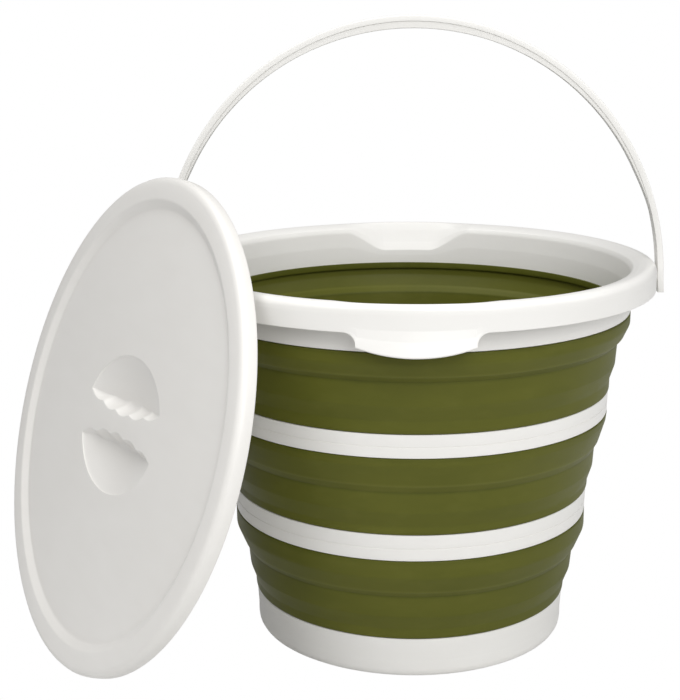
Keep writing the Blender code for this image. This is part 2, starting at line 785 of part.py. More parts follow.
def make_lid(parts, tools, material):
    """Make the lid with its raised border, locating ring and the two recesses beside its bar."""
    placement = lid_placement()
    lid = turned("lid", lid_profile(), parts)
    lid.matrix_world = placement
    panel_middle = -(LID_PANEL_DROP + LID_PANEL_THICKNESS / 2)
    shift = Matrix.Translation((*RECESS_SHIFT, 0.0))
    for side, turn in (("upper", 0.0), ("lower", math.pi)):
        spin = placement @ shift @ Matrix.Rotation(RECESS_TURN + turn, 4, "Z")
        steps = (RECESS_CUP_STEPS, 1)
        cup = recess_solid("lid_cup_tool_" + side, RECESS_WALL, panel_middle, steps, tools)
        cup.matrix_world = spin
        combine(lid, cup, "UNION")
    for side, turn in (("upper", 0.0), ("lower", math.pi)):
        spin = placement @ shift @ Matrix.Rotation(RECESS_TURN + turn, 4, "Z")
        steps = (RECESS_CUT_STEPS, SCALLOP_STEPS)
        cutter = recess_solid("lid_recess_cutter_" + side, 0.0, CUT_OVERRUN, steps, tools)
        cutter.matrix_world = spin
        combine(lid, cutter, "DIFFERENCE")
    lid.data.materials.append(material)
    return lid


def make_stack(parts, white, olive):
    """Make the hoops and the bands between the base cup and the rim."""
    lower_hoop = Hoop(
        "ring_lower",
        LOWER_HOOP_FOOT,
        LOWER_HOOP_HEAD,
        LOWER_HOOP_FOOT_RADIUS,
        LOWER_HOOP_HEAD_RADIUS,
    )
    upper_hoop = Hoop(
        "ring_upper",
        UPPER_HOOP_FOOT,
        UPPER_HOOP_HEAD,
        UPPER_HOOP_FOOT_RADIUS,
        UPPER_HOOP_HEAD_RADIUS,
    )
    collar_end_radius = base_outer_radius(BASE_HEIGHT - BASE_COLLAR)
    base_seat = Seat(BASE_RADIUS, collar_end_radius, BASE_WALL, BASE_COLLAR)
    neck_seat = Seat(NECK_RADIUS, NECK_RADIUS, RIM_WALL, NECK_COLLAR)
    bands = (
        Band(
            "bellows_lower",
            BASE_HEIGHT,
            LOWER_HOOP_FOOT,
            base_seat,
            lower_hoop.foot_seat(),
            (0.119, 0.294, 0.538, 0.608, 0.8),
            (0.04, 0.33, 0.43, 0.64, 1.0),
        ),
        Band(
            "bellows_middle",
            LOWER_HOOP_HEAD,
            UPPER_HOOP_FOOT,
            lower_hoop.head_seat(),
            upper_hoop.foot_seat(),
            (0.106, 0.297, 0.544, 0.639, 0.895),
            (0.01, 0.28, 0.35, 0.59, 0.95),
        ),
        Band(
            "bellows_upper",
            UPPER_HOOP_HEAD,
            NECK_FOOT,
            upper_hoop.head_seat(),
            neck_seat,
            (0.156, 0.346, 0.631, 0.707, 0.859),
            (0.01, 0.27, 0.36, 0.69, 1.0),
        ),
    )
    for hoop in (lower_hoop, upper_hoop):
        make_hoop(hoop, parts, white)
    for band in bands:
        make_band(band, parts, olive)


def main():
    """Build the bucket."""
    clear_scene()
    parts = make_collection("collapsible_camp_bucket")
    tools = make_collection("construction_tools")
    white = make_material("white_plastic", WHITE_PLASTIC, 0.38)
    lid_white = make_material("lid_plastic", WHITE_LID, 0.42)
    olive = make_material("olive_rubber", OLIVE_RUBBER, 0.45)
    make_base_cup(parts, tools, white)
    make_stack(parts, white, olive)
    make_rim(parts, tools, white)
    make_bail(parts, tools, white)
    make_lid(parts, tools, lid_white)


main()
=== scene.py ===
"""Looks of a collapsible camp bucket: moulded white plastic, olive folding bands, bail and lid.

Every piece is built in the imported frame's own coordinates, in metres, with the bucket's axis
on Z and the floor at z = 0. Main sizes are read from the frame; a class holds the rest of the
sizes of its own piece.
"""

import json
import logging
import math
from collections.abc import Callable, Sequence
from dataclasses import dataclass
from enum import Enum
from typing import Any

import bmesh
import bpy
from mathutils import Matrix, Vector

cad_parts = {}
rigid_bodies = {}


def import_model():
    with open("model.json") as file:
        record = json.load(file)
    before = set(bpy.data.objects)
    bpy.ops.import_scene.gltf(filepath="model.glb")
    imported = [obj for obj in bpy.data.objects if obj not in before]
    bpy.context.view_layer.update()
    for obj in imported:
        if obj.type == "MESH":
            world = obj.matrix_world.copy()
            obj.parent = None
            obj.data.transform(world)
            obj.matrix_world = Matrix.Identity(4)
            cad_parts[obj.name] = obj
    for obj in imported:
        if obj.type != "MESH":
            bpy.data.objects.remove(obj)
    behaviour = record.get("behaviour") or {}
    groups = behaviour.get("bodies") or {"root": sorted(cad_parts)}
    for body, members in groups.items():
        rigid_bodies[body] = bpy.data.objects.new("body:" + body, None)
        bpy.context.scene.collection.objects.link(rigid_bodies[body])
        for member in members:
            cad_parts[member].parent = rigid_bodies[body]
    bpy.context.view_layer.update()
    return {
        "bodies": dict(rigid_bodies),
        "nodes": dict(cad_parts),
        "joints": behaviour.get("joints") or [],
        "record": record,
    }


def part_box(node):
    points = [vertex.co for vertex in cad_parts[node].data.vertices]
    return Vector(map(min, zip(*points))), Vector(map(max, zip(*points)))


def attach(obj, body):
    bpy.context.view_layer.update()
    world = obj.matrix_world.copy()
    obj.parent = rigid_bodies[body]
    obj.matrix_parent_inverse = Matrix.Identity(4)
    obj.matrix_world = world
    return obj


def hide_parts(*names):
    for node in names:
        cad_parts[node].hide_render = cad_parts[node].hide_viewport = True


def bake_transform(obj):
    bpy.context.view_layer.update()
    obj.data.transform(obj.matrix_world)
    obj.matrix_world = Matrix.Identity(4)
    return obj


LOG = logging.getLogger("bucket")

Point = tuple[float, float]
Triple = tuple[float, float, float]
Colour = tuple[float, float, float, float]
Wave = tuple[float, float, float, float]
Row = list[bmesh.types.BMVert]
Wobble = Callable[[float, float, float], float]

# Steps round the axis and round a corner of a section
TURN_STEPS = 240
ROUND_STEPS = 4
# Most of a side that one rounding takes, and the widest half turn it follows
ROUND_ROOM = 0.49
WIDEST_HALF_TURN = 1.5
SHARP_ANGLE = math.radians(50)
ANGLE_DIGITS = 6
QUARTER = math.pi / 2
TINY = 1e-6
# Least rounding of a wall's hidden side, as a share of the wall
LEAST_ROUND_SHARE = 0.25
# Sockets of the Mix node when it mixes colours, and the middle of what a noise gives
MIX_FIRST = 6
MIX_SECOND = 7
MIX_RESULT = 2
NOISE_MIDDLE = 0.5


class Side(Enum):
    """The two ends of the bail's pivot axis."""

    LEFT = -1
    RIGHT = 1


class Tab(Enum):
    """The two grip tabs of the rim, by the direction each faces."""

    FRONT = -QUARTER
    BACK = QUARTER


class Recess(Enum):
    """The lid's two finger recesses, by their turn about the lid's middle."""

    UPPER = 0.0
    LOWER = math.pi


# Shader building


@dataclass(frozen=True)
class Noise:
    """Cloudy noise: cells to the metre, levels of finer noise and scale along each axis."""

    scale: float
    detail: float = 2.0
    stretch: Triple = (1.0, 1.0, 1.0)


class Value:
    """A number that varies over a surface, held as a node socket, with arithmetic."""

    def __init__(self, graph: "Graph", socket: bpy.types.NodeSocket) -> None:
        """Wrap a socket.

        Args:
            graph: the graph that the socket belongs to.
            socket: the output socket that gives the number.
        """
        self.graph = graph
        self.socket = socket

    def __add__(self, other: "Value | float") -> "Value":
        """Sum."""
        return self.graph.maths("ADD", self, other)

    def __radd__(self, other: float) -> "Value":
        """Sum with a plain number first."""
        return self.graph.maths("ADD", other, self)

    def __sub__(self, other: "Value | float") -> "Value":
        """Difference."""
        return self.graph.maths("SUBTRACT", self, other)

    def __rsub__(self, other: float) -> "Value":
        """Difference from a plain number."""
        return self.graph.maths("SUBTRACT", other, self)

    def __mul__(self, other: "Value | float") -> "Value":
        """Product."""
        return self.graph.maths("MULTIPLY", self, other)

    def __rmul__(self, other: float) -> "Value":
        """Product with a plain number first."""
        return self.graph.maths("MULTIPLY", other, self)

    def clamped(self) -> "Value":
        """The same number kept between 0 and 1."""
        low = self.graph.maths("MAXIMUM", self, 0.0)
        return self.graph.maths("MINIMUM", low, 1.0)


class Graph:
    """The node graph of one material."""

    def __init__(self, name: str) -> None:
        """Start a material with a Principled shader.

        Args:
            name: the material's name.
        """
        self.material = bpy.data.materials.new(name)
        self.material.use_nodes = True
        self.tree = self.material.node_tree
        self.shader = self.tree.nodes["Principled BSDF"]

    def node(
        self,
        kind: str,
        settings: dict[str, Any] | None = None,
        inputs: dict[str | int, Any] | None = None,
    ) -> bpy.types.Node:
        """Add a node, set it up and feed its sockets.

        Args:
            kind: the node's type.
            settings: properties by name; "stops" gives a ramp's places and greys.
            inputs: plain values, Values or sockets by input name or number.

        Returns:
            The new node.
        """
        node = self.tree.nodes.new(kind)
        for name, value in (settings or {}).items():
            if name == "stops":
                self._set_stops(node, value)
            else:
                setattr(node, name, value)
        for key, value in (inputs or {}).items():
            self.feed(node.inputs[key], value)
        return node

    @staticmethod
    def _set_stops(node: bpy.types.Node, stops: Sequence[Point]) -> None:
        """Give a colour ramp its greys.

        Args:
            node: the ramp.
            stops: place and grey of each stop, in order.
        """
        elements = node.color_ramp.elements
        while len(elements) < len(stops):
            elements.new(0.5)
        for element, (place, grey) in zip(elements, stops):
            element.position = place
            element.color = (grey, grey, grey, 1.0)

    def feed(self, socket: bpy.types.NodeSocket, value: Any) -> None:
        """Link or set an input socket.

        Args:
            socket: the input.
            value: a Value, an output socket or a plain value.
        """
        if isinstance(value, Value):
            self.tree.links.new(value.socket, socket)
        elif isinstance(value, bpy.types.NodeSocket):
            self.tree.links.new(value, socket)
        else:
            socket.default_value = value

    def maths(self, operation: str, first: Value | float, second: Value | float) -> Value:
        """Add a Math node.

        Args:
            operation: the node's operation.
            first: first number.
            second: second number.

        Returns:
            The result.
        """
        node = self.node("ShaderNodeMath", {"operation": operation}, {0: first, 1: second})
        return Value(self, node.outputs[0])

    def mixed(self, share: Value | float, first: Any, second: Any) -> bpy.types.NodeSocket:
        """Mix two colours.

        Args:
            share: how much of the second colour shows.
            first: first colour.
            second: second colour.

        Returns:
            The mixed colour's socket.
        """
        inputs = {0: share, MIX_FIRST: first, MIX_SECOND: second}
        return self.node("ShaderNodeMix", {"data_type": "RGBA"}, inputs).outputs[MIX_RESULT]

    def stretched(self, factors: Triple) -> bpy.types.NodeSocket:
        """Object coordinates in metres, stretched along each axis.

        Args:
            factors: the scale along X, Y and Z.

        Returns:
            The coordinate socket.
        """
        place = self.node("ShaderNodeTexCoord").outputs["Object"]
        node = self.node("ShaderNodeVectorMath", {"operation": "MULTIPLY"}, {0: place, 1: factors})
        return node.outputs[0]

    def noise(self, noise: Noise) -> Value:
        """Add a noise.

        Args:
            noise: its scale, detail and stretch.

        Returns:
            The noise's value, from 0 to 1.
        """
        place = self.stretched(noise.stretch)
        inputs = {"Vector": place, "Scale": noise.scale, "Detail": noise.detail}
        node = self.node("ShaderNodeTexNoise", {}, inputs)
        return Value(self, node.outputs[0])

    def ramp(self, value: Value, stops: Sequence[Point]) -> Value:
        """Remap a number through straight runs between stops.

        Args:
            value: the number.
            stops: place and result of each stop.

        Returns:
            The remapped number.
        """
        node = self.node("ShaderNodeValToRGB", {"stops": stops}, {0: value})
        return Value(self, node.outputs[0])

    def painted(self, name: str) -> Value:
        """A number painted on the mesh's points.

        Args:
            name: the attribute's name.

        Returns:
            The number.
        """
        node = self.node("ShaderNodeAttribute", {"attribute_name": name})
        return Value(self, node.outputs["Fac"])

    def bump(self, height: Value, distance: float, strength: float) -> bpy.types.NodeSocket:
        """Tilt the surface by a height.

        Args:
            height: the height, from 0 to 1.
            distance: metres that a height of 1 stands for.
            strength: how much of it shows.

        Returns:
            The normal's socket.
        """
        inputs = {"Height": height, "Distance": distance, "Strength": strength}
        return self.node("ShaderNodeBump", {}, inputs).outputs[0]


@dataclass(frozen=True)
class MouldedPlastic:
    """Satin white plastic straight from a polished mould, with painted shade mixed in where it lies
    in shadow.
    """

    name: str
    colour: Colour
    # The darker colour that the random tone and the painted shade mix in
    shade: Colour
    roughness: float
    coat: float = 0.08
    coat_roughness: float = 0.25
    refraction: float = 1.46
    clouds: Noise = Noise(9.0, 3.0)
    flow: Noise = Noise(26.0, stretch=(1.0, 1.0, 3.5))
    peel: Noise = Noise(520.0, 1.0)
    grain: Noise = Noise(2600.0)
    scuffs: Noise = Noise(75.0, 4.0, (1.0, 1.0, 5.0))
    scuff_stops: tuple[Point, ...] = ((0.6, 0.0), (0.74, 1.0))
    # What each mask adds to the shade colour's share (clouds and flow vary the tone at random, the
    # painted shade mask darkens shadowed places), to the roughness and to the bump's height
    cloud_shade: float = 0.7
    flow_shade: float = 0.5
    painted_shade_share: float = 0.6
    plain_shade: float = 0.3
    cloud_rough: float = 0.08
    scuff_rough: float = 0.07
    grain_rough: float = 0.06
    peel_height: float = 0.8
    grain_height: float = 0.2
    bump_distance: float = 0.00006
    bump_strength: float = 0.4

    def make(self) -> bpy.types.Material:
        """Build the material.

        Returns:
            The material.
        """
        graph = Graph(self.name)
        clouds = graph.noise(self.clouds) - NOISE_MIDDLE
        flow = graph.noise(self.flow) - NOISE_MIDDLE
        peel = graph.noise(self.peel)
        grain = graph.noise(self.grain)
        scuffs = graph.ramp(graph.noise(self.scuffs), self.scuff_stops)
        # Painted shade: how far each point lies in shadow, painted on the mesh
        hollow = graph.painted("hollow")
        share = clouds * self.cloud_shade + flow * self.flow_shade
        share = (share + hollow * self.painted_shade_share + self.plain_shade).clamped()
        shader = graph.shader
        graph.feed(shader.inputs["Base Color"], graph.mixed(share, self.colour, self.shade))
        rough = clouds * self.cloud_rough + scuffs * self.scuff_rough
        rough = rough + (grain - NOISE_MIDDLE) * self.grain_rough + self.roughness
        graph.feed(shader.inputs["Roughness"], rough)
        height = peel * self.peel_height + grain * self.grain_height
        normal = graph.bump(height, self.bump_distance, self.bump_strength)
        graph.feed(shader.inputs["Normal"], normal)
        shader.inputs["Coat Weight"].default_value = self.coat
        shader.inputs["Coat Roughness"].default_value = self.coat_roughness
        shader.inputs["IOR"].default_value = self.refraction
        graph.material.diffuse_color = self.colour
        return graph.material


@dataclass(frozen=True)
class SatinRubber:
    """Flexible olive rubber with a soft sheen, paler where its folds are worn, and darker with
    painted shade where it lies in shadow.
    """

    name: str
    colour: Colour
    # The darker colour that the random tone and the painted shade mix in; worn is the paler colour
    # of worn folds
    dark: Colour
    worn: Colour
    roughness: float
    specular: float = 0.16
    refraction: float = 1.5
    clouds: Noise = Noise(11.0, 3.0)
    smears: Noise = Noise(22.0, 3.0, (1.0, 1.0, 4.5))
    bloom: Noise = Noise(48.0, 4.0, (1.0, 1.0, 2.0))
    bloom_stops: tuple[Point, ...] = ((0.52, 0.0), (0.8, 1.0))
    grain: Noise = Noise(1900.0)
    pebble: Noise = Noise(480.0)
    # What each mask adds to the dark colour's share (clouds and smears vary the tone at random, the
    # painted shade mask darkens shadowed places), the wear, the roughness and the bump's height
    cloud_shade: float = 0.9
    smear_shade: float = 0.6
    painted_shade_share: float = 0.7
    plain_shade: float = 0.3
    crease_wear: float = 0.5
    bloom_wear: float = 0.16
    grain_wear: float = 0.08
    cloud_rough: float = 0.12
    bloom_rough: float = 0.09
    grain_rough: float = 0.1
    pebble_height: float = 0.5
    grain_height: float = 0.5
    bump_distance: float = 0.00009
    bump_strength: float = 0.5

    def make(self) -> bpy.types.Material:
        """Build the material.

        Returns:
            The material.
        """
        graph = Graph(self.name)
        clouds = graph.noise(self.clouds) - NOISE_MIDDLE
        smears = graph.noise(self.smears) - NOISE_MIDDLE
        bloom = graph.ramp(graph.noise(self.bloom), self.bloom_stops)
        grain = graph.noise(self.grain)
        pebble = graph.noise(self.pebble)
        crease = graph.painted("crease")
        # Painted shade: how far each point lies in shadow, painted on the mesh
        hollow = graph.painted("hollow")
        specks = grain - NOISE_MIDDLE
        share = clouds * self.cloud_shade + smears * self.smear_shade
        share = (share + hollow * self.painted_shade_share + self.plain_shade).clamped()
        base = graph.mixed(share, self.colour, self.dark)
        wear = crease * self.crease_wear + bloom * self.bloom_wear + specks * self.grain_wear
        shader = graph.shader
        graph.feed(shader.inputs["Base Color"], graph.mixed(wear.clamped(), base, self.worn))
        rough = clouds * self.cloud_rough + bloom * self.bloom_rough + specks * self.grain_rough
        graph.feed(shader.inputs["Roughness"], rough + self.roughness)
        height = pebble * self.pebble_height + grain * self.grain_height
        normal = graph.bump(height, self.bump_distance, self.bump_strength)
        graph.feed(shader.inputs["Normal"], normal)
        shader.inputs["IOR"].default_value = self.refraction
        shader.inputs["Specular IOR Level"].default_value = self.specular
        graph.material.diffuse_color = self.colour
        return graph.material


@dataclass(frozen=True)
class Finishes:
    """The bucket's three finishes."""

    white: bpy.types.Material
    lid: bpy.types.Material
    rubber: bpy.types.Material

    @staticmethod
    def make() -> "Finishes":
        """Build every finish.

        Returns:
            The finishes.
        """
        # The shade and dark colours also carry the painted shade
        white = MouldedPlastic(
            "moulded_white",
            colour=(0.86, 0.85, 0.825, 1.0),
            shade=(0.80, 0.785, 0.75, 1.0),
            roughness=0.36,
        )
        lid = MouldedPlastic(
            "moulded_lid",
            colour=(0.84, 0.825, 0.795, 1.0),
            shade=(0.78, 0.76, 0.725, 1.0),
            roughness=0.40,
        )
        rubber = SatinRubber(
            "olive_rubber",
            colour=(0.108, 0.112, 0.0145, 1.0),
            dark=(0.076, 0.082, 0.0095, 1.0),
            worn=(0.17, 0.172, 0.04, 1.0),
            roughness=0.46,
        )
        return Finishes(white.make(), lid.make(), rubber.make())


# Sections and skins


@dataclass(frozen=True)
class Corner:
    """A corner of a section: its reach from the axis, its height and its rounding."""

    reach: float
    height: float
    round: float = 0.0


class Section:
    """An outline in a plane through the axis, given by its corners."""

    def __init__(self, corners: Sequence[Corner], closed: bool = False) -> None:
        """Keep the corners.

        Args:
            corners: the corners in order.
            closed: whether the last joins the first.
        """
        self.corners = list(corners)
        self.closed = closed

    def _direction(self, index: int) -> Vector:
        """Unit direction from a corner to the next one.

        Args:
            index: the corner, counted round the outline.

        Returns:
            The direction, straight down where the two coincide.
        """
        here = self.corners[index % len(self.corners)]
        there = self.corners[(index + 1) % len(self.corners)]
        run = Vector((there.reach - here.reach, there.height - here.height))
        return run.normalized() if run.length > TINY * TINY else Vector((0.0, -1.0))

    def _length(self, index: int) -> float:
        """Distance from a corner to the next one.

        Args:
            index: the corner, counted round the outline.

        Returns:
            The distance.
        """
        here = self.corners[index % len(self.corners)]
        there = self.corners[(index + 1) % len(self.corners)]
        return math.hypot(there.reach - here.reach, there.height - here.height)

    def walled(self, wall: float, edge_round: float) -> "Section":
        """Close an open outline with a wall on the side nearer the axis.

        Args:
            wall: the wall's thickness.
            edge_round: rounding of the four corners at its two ends.

        Returns:
            The closed section.
        """
        last = len(self.corners) - 1
        least_round = wall * LEAST_ROUND_SHARE
        outer = []
        inner = []
        for index, corner in enumerate(self.corners):
            before = self._direction(max(index - 1, 0))
            after = self._direction(min(index, last - 1))
            normal = Vector((before.y + after.y, -before.x - after.x))
            inward = normal / (1.0 + before.dot(after))
            turn = before.x * after.y - before.y * after.x
            reach = corner.reach + inward.x * wall
            height = corner.height + inward.y * wall
            if index in (0, last):
                outer.append(Corner(corner.reach, corner.height, edge_round))
                inner.append(Corner(reach, height, edge_round))
                continue
            change = wall if turn > 0.0 else -wall
            outer.append(corner)
            inner.append(Corner(reach, height, max(corner.round + change, least_round)))
        return Section(outer + inner[::-1], closed=True)

    def points(self, spacing: float | None = None) -> list[Point]:
        """Draw the outline with its corners rounded.

        Args:
            spacing: the longest straight run to leave undivided, if any.

        Returns:
            The points.
        """
        made: list[Point] = []
        count = len(self.corners)
        for index, corner in enumerate(self.corners):
            at_end = not self.closed and index in (0, count - 1)
            if corner.round <= 0.0 or at_end:
                made.append((corner.reach, corner.height))
                continue
            before = self._direction(index - 1)
            after = self._direction(index)
            half_turn = math.acos(max(-1.0, min(1.0, before.dot(after)))) / 2
            room = ROUND_ROOM * min(self._length(index - 1), self._length(index))
            tangent = min(corner.round * math.tan(min(half_turn, WIDEST_HALF_TURN)), room)
            here = Vector((corner.reach, corner.height))
            bend = bent(here - before * tangent, here, here + after * tangent, ROUND_STEPS)
            made += [(point.x, point.y) for point in bend]
        return self._divided(made, spacing) if spacing else made

    def _divided(self, points: list[Point], spacing: float) -> list[Point]:
        """Split long straight runs.

        Args:
            points: the outline.
            spacing: the longest run to leave.

        Returns:
            The outline with more points.
        """
        made: list[Point] = []
        count = len(points)
        runs = count if self.closed else count - 1
        for index in range(runs):
            start = Vector(points[index])
            end = Vector(points[(index + 1) % count])
            parts = max(1, math.ceil((end - start).length / spacing))
            for part in range(parts):
                point = start.lerp(end, part / parts)
                made.append((point.x, point.y))
        if not self.closed:
            made.append(points[-1])
        return made


class Skin:
    """A mesh under construction."""

    def __init__(self) -> None:
        """Start with nothing."""
        self.shape = bmesh.new()

    def row(self, points: Sequence[Vector | Triple]) -> Row:
        """Add a row of points.

        Args:
            points: the places.

        Returns:
            The row's vertices.
        """
        return [self.shape.verts.new(point) for point in points]

    def ring(
        self, reach: float, height: float, steps: int = TURN_STEPS, wobble: Wobble | None = None
    ) -> Row:
        """Add a row of points round the axis.

        Args:
            reach: distance from the axis.
            height: height of the row.
            steps: how many points.
            wobble: change of reach by angle, reach and height.

        Returns:
            The row's vertices.
        """
        places = []
        for step in range(steps):
            angle = math.tau * step / steps
            real = reach + (wobble(angle, reach, height) if wobble else 0.0)
            places.append((real * math.cos(angle), real * math.sin(angle), height))
        return self.row(places)

    def strip(self, first: Row, second: Row) -> None:
        """Join two rows with faces, each row joined to its own start.

        Args:
            first: one row.
            second: the next, as long or a single vertex.
        """
        count = max(len(first), len(second))
        for index in range(count):
            following = (index + 1) % count
            corners = [
                first[index % len(first)],
                first[following % len(first)],
                second[following % len(second)],
                second[index % len(second)],
            ]
            unique = list(dict.fromkeys(corners))
            if len(unique) > 2:
                self.shape.faces.new(unique)

    def strips(self, rows: Sequence[Row], closed: bool = False) -> None:
        """Join each row with the next.

        Args:
            rows: the rows in order.
            closed: whether the last joins the first.
        """
        for first, second in zip(rows, rows[1:]):
            self.strip(first, second)
        if closed:
            self.strip(rows[-1], rows[0])

    def filled(self, loops: Sequence[Row]) -> None:
        """Fill the flat area between closed rows.

        Args:
            loops: the outer row and any holes.
        """
        edges = []
        for loop in loops:
            for index, vertex in enumerate(loop):
                following = loop[(index + 1) % len(loop)]
                edge = self.shape.edges.get((vertex, following))
                edges.append(edge or self.shape.edges.new((vertex, following)))
        bmesh.ops.triangle_fill(self.shape, edges=edges, use_beauty=True)

    def finish(self, name: str, material: bpy.types.Material) -> bpy.types.Object:
        """Turn the skin into an object.

        Args:
            name: the object's name.
            material: its finish.

        Returns:
            The object.
        """
        bmesh.ops.recalc_face_normals(self.shape, faces=self.shape.faces)
        mesh = bpy.data.meshes.new(name)
        self.shape.to_mesh(mesh)
        self.shape.free()
        mesh.shade_smooth()
        mesh.set_sharp_from_angle(angle=SHARP_ANGLE)
        mesh.materials.append(material)
        made = bpy.data.objects.new(name, mesh)
        bpy.context.scene.collection.objects.link(made)
        return made


def turned(
    name: str,
    points: Sequence[Point],
    material: bpy.types.Material,
    closed: bool = True,
    steps: int = TURN_STEPS,
    wobble: Wobble | None = None,
) -> bpy.types.Object:
    """Turn a section about the axis into a closed skin.

    Args:
        name: the object's name.
        points: the section.
        material: its finish.
        closed: whether the section is a loop; else its two ends lie on the axis.
        steps: how many stations round the axis.
        wobble: change of reach by angle, reach and height.

    Returns:
        The object.
    """
    skin = Skin()
    rows = []
    for reach, height in points:
        if reach < TINY:
            rows.append(skin.row([(0.0, 0.0, height)]))
        else:
            rows.append(skin.ring(reach, height, steps, wobble))
    skin.strips(rows, closed)
    return skin.finish(name, material)


def paint(made: bpy.types.Object, name: str, rule: Callable[[Vector], float]) -> None:
    """Paint a number on a mesh's points.

    Args:
        made: the object.
        name: the attribute's name.
        rule: the number at a place.
    """
    attribute = made.data.attributes.new(name, "FLOAT", "POINT")
    values = [rule(vertex.co) for vertex in made.data.vertices]
    attribute.data.foreach_set("value", values)


def smooth(value: float) -> float:
    """Ease a share from 0 to 1."""
    share = min(max(value, 0.0), 1.0)
    return share * share * (3.0 - 2.0 * share)


def bent(start: Vector, corner: Vector, end: Vector, steps: int) -> list[Vector]:
    """Trace a soft bend round a corner.

    Args:
        start: where the bend leaves the first side.
        corner: the sharp corner.
        end: where the bend meets the second side.
        steps: how many steps it takes.

    Returns:
        The bend's points, with both ends.
    """
    points = []
    for step in range(steps + 1):
        share = step / steps
        points.append(start.lerp(corner, share).lerp(corner.lerp(end, share), share))
    return points


def near(value: float, middle: float, width: float) -> float:
    """1 at a middle, falling smoothly to 0 a width away."""
    return 1.0 - smooth(abs(value - middle) / width)


def cut(made: bpy.types.Object, tool: bpy.types.Object, operation: str) -> None:
    """Apply a Boolean and remove its tool.

    Args:
        made: the object that changes.
        tool: the shape that cuts or joins it.
        operation: DIFFERENCE or UNION.
    """
    modifier = made.modifiers.new("shape", "BOOLEAN")
    modifier.operation = operation
    modifier.solver = "EXACT"
    modifier.object = tool
    graph = bpy.context.evaluated_depsgraph_get()
    mesh = bpy.data.meshes.new_from_object(made.evaluated_get(graph))
    made.modifiers.clear()
    made.data = mesh
    mesh.shade_smooth()
    mesh.set_sharp_from_angle(angle=SHARP_ANGLE)
    bpy.data.objects.remove(tool, do_unlink=True)


# Frame sizes


class Measure:
    """Main sizes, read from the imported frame."""

    def __init__(self, frame: dict[str, Any]) -> None:
        """Read the nodes' boxes and the bail's pivot.

        Args:
            frame: what the frame's loader returned.
        """
        self.boxes = {node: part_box(node) for node in frame["nodes"]}
        joints = {joint["name"]: joint for joint in frame["joints"]}
        self.pivot = Vector(joints["bail_swing"]["pos_m"])

    def foot(self, node: str) -> float:
        """Lowest height of a node."""
        return self.boxes[node][0].z

    def head(self, node: str) -> float:
        """Highest height of a node."""
        return self.boxes[node][1].z

    def reach(self, node: str) -> float:
        """Greatest reach of a turned node along X."""
        return self.boxes[node][1].x


# Sub-assemblies


@dataclass(frozen=True)
class BaseCup:
    """The cup that closes the bottom."""

    measure: Measure
    taper: float = 0.0009
    corner: float = 0.012
    wall: float = 0.0026
    floor: float = 0.0042
    edge_round: float = 0.0007
    ring_width: float = 0.0085
    hub: float = 0.014
    pocket_depth: float = 0.0016
    pocket_rib: float = 0.005
    pocket_count: int = 8
    outer_steps: int = 24
    hub_steps: int = 6
    spacing: float = 0.006
    # Painted shade near the floor, and how high it reaches
    foot_shade: float = 0.8
    foot_shade_height: float = 0.006

    def build(self, finishes: Finishes) -> list[bpy.types.Object]:
        """Build the cup with the foot ring, ribs and hub under its floor.

        Args:
            finishes: the bucket's finishes.

        Returns:
            The pieces.
        """
        radius = self.measure.reach("base_cup")
        head = self.measure.head("base_cup")
        foot_radius = radius - self.taper
        inner = foot_radius - self.wall
        corners = [
            Corner(0.0, self.floor),
            Corner(inner, self.floor, self.corner - self.floor),
            Corner(radius - self.wall, head, self.edge_round),
            Corner(radius, head, self.edge_round),
            Corner(foot_radius, self.corner, self.corner),
            Corner(foot_radius, 0.0, self.corner),
            Corner(foot_radius - 2 * self.corner, 0.0),
            Corner(0.0, 0.0),
        ]
        points = Section(corners).points(self.spacing)
        cup = turned("base_shell", points, finishes.white, closed=False)
        for index in range(self.pocket_count):
            cut(cup, self._pocket(index, foot_radius, finishes.white), "DIFFERENCE")
        # Painted shade, darker towards the floor
        shade = self.foot_shade
        paint(cup, "hollow", lambda place: shade * near(place.z, 0.0, self.foot_shade_height))
        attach(cup, "base")
        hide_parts("base_cup")
        return [cup]

    def _pocket(
        self, index: int, foot_radius: float, material: bpy.types.Material
    ) -> bpy.types.Object:
        """Shape that cuts one shallow pocket under the floor.

        Args:
            index: which pocket.
            foot_radius: radius of the wall's foot.
            material: any finish.

        Returns:
            The cutting shape.
        """
        outer = foot_radius - self.corner - self.ring_width
        sector = math.tau / self.pocket_count
        rib = self.pocket_rib / 2
        outline = []
        outer_order = range(self.outer_steps + 1)
        hub_order = range(self.hub_steps, -1, -1)
        for reach, order in ((outer, outer_order), (self.hub, hub_order)):
            inset = math.asin(rib / reach)
            start = sector * index + inset
            span = sector - 2 * inset
            for step in order:
                angle = start + span * step / max(order)
                outline.append((reach * math.cos(angle), reach * math.sin(angle)))
        skin = Skin()
        low = skin.row([(x, y, -self.pocket_depth) for x, y in outline])
        high = skin.row([(x, y, self.pocket_depth) for x, y in outline])
        skin.shape.faces.new(low)
        skin.strip(low, high)
        skin.shape.faces.new(high)
        return skin.finish("pocket_cutter", material)


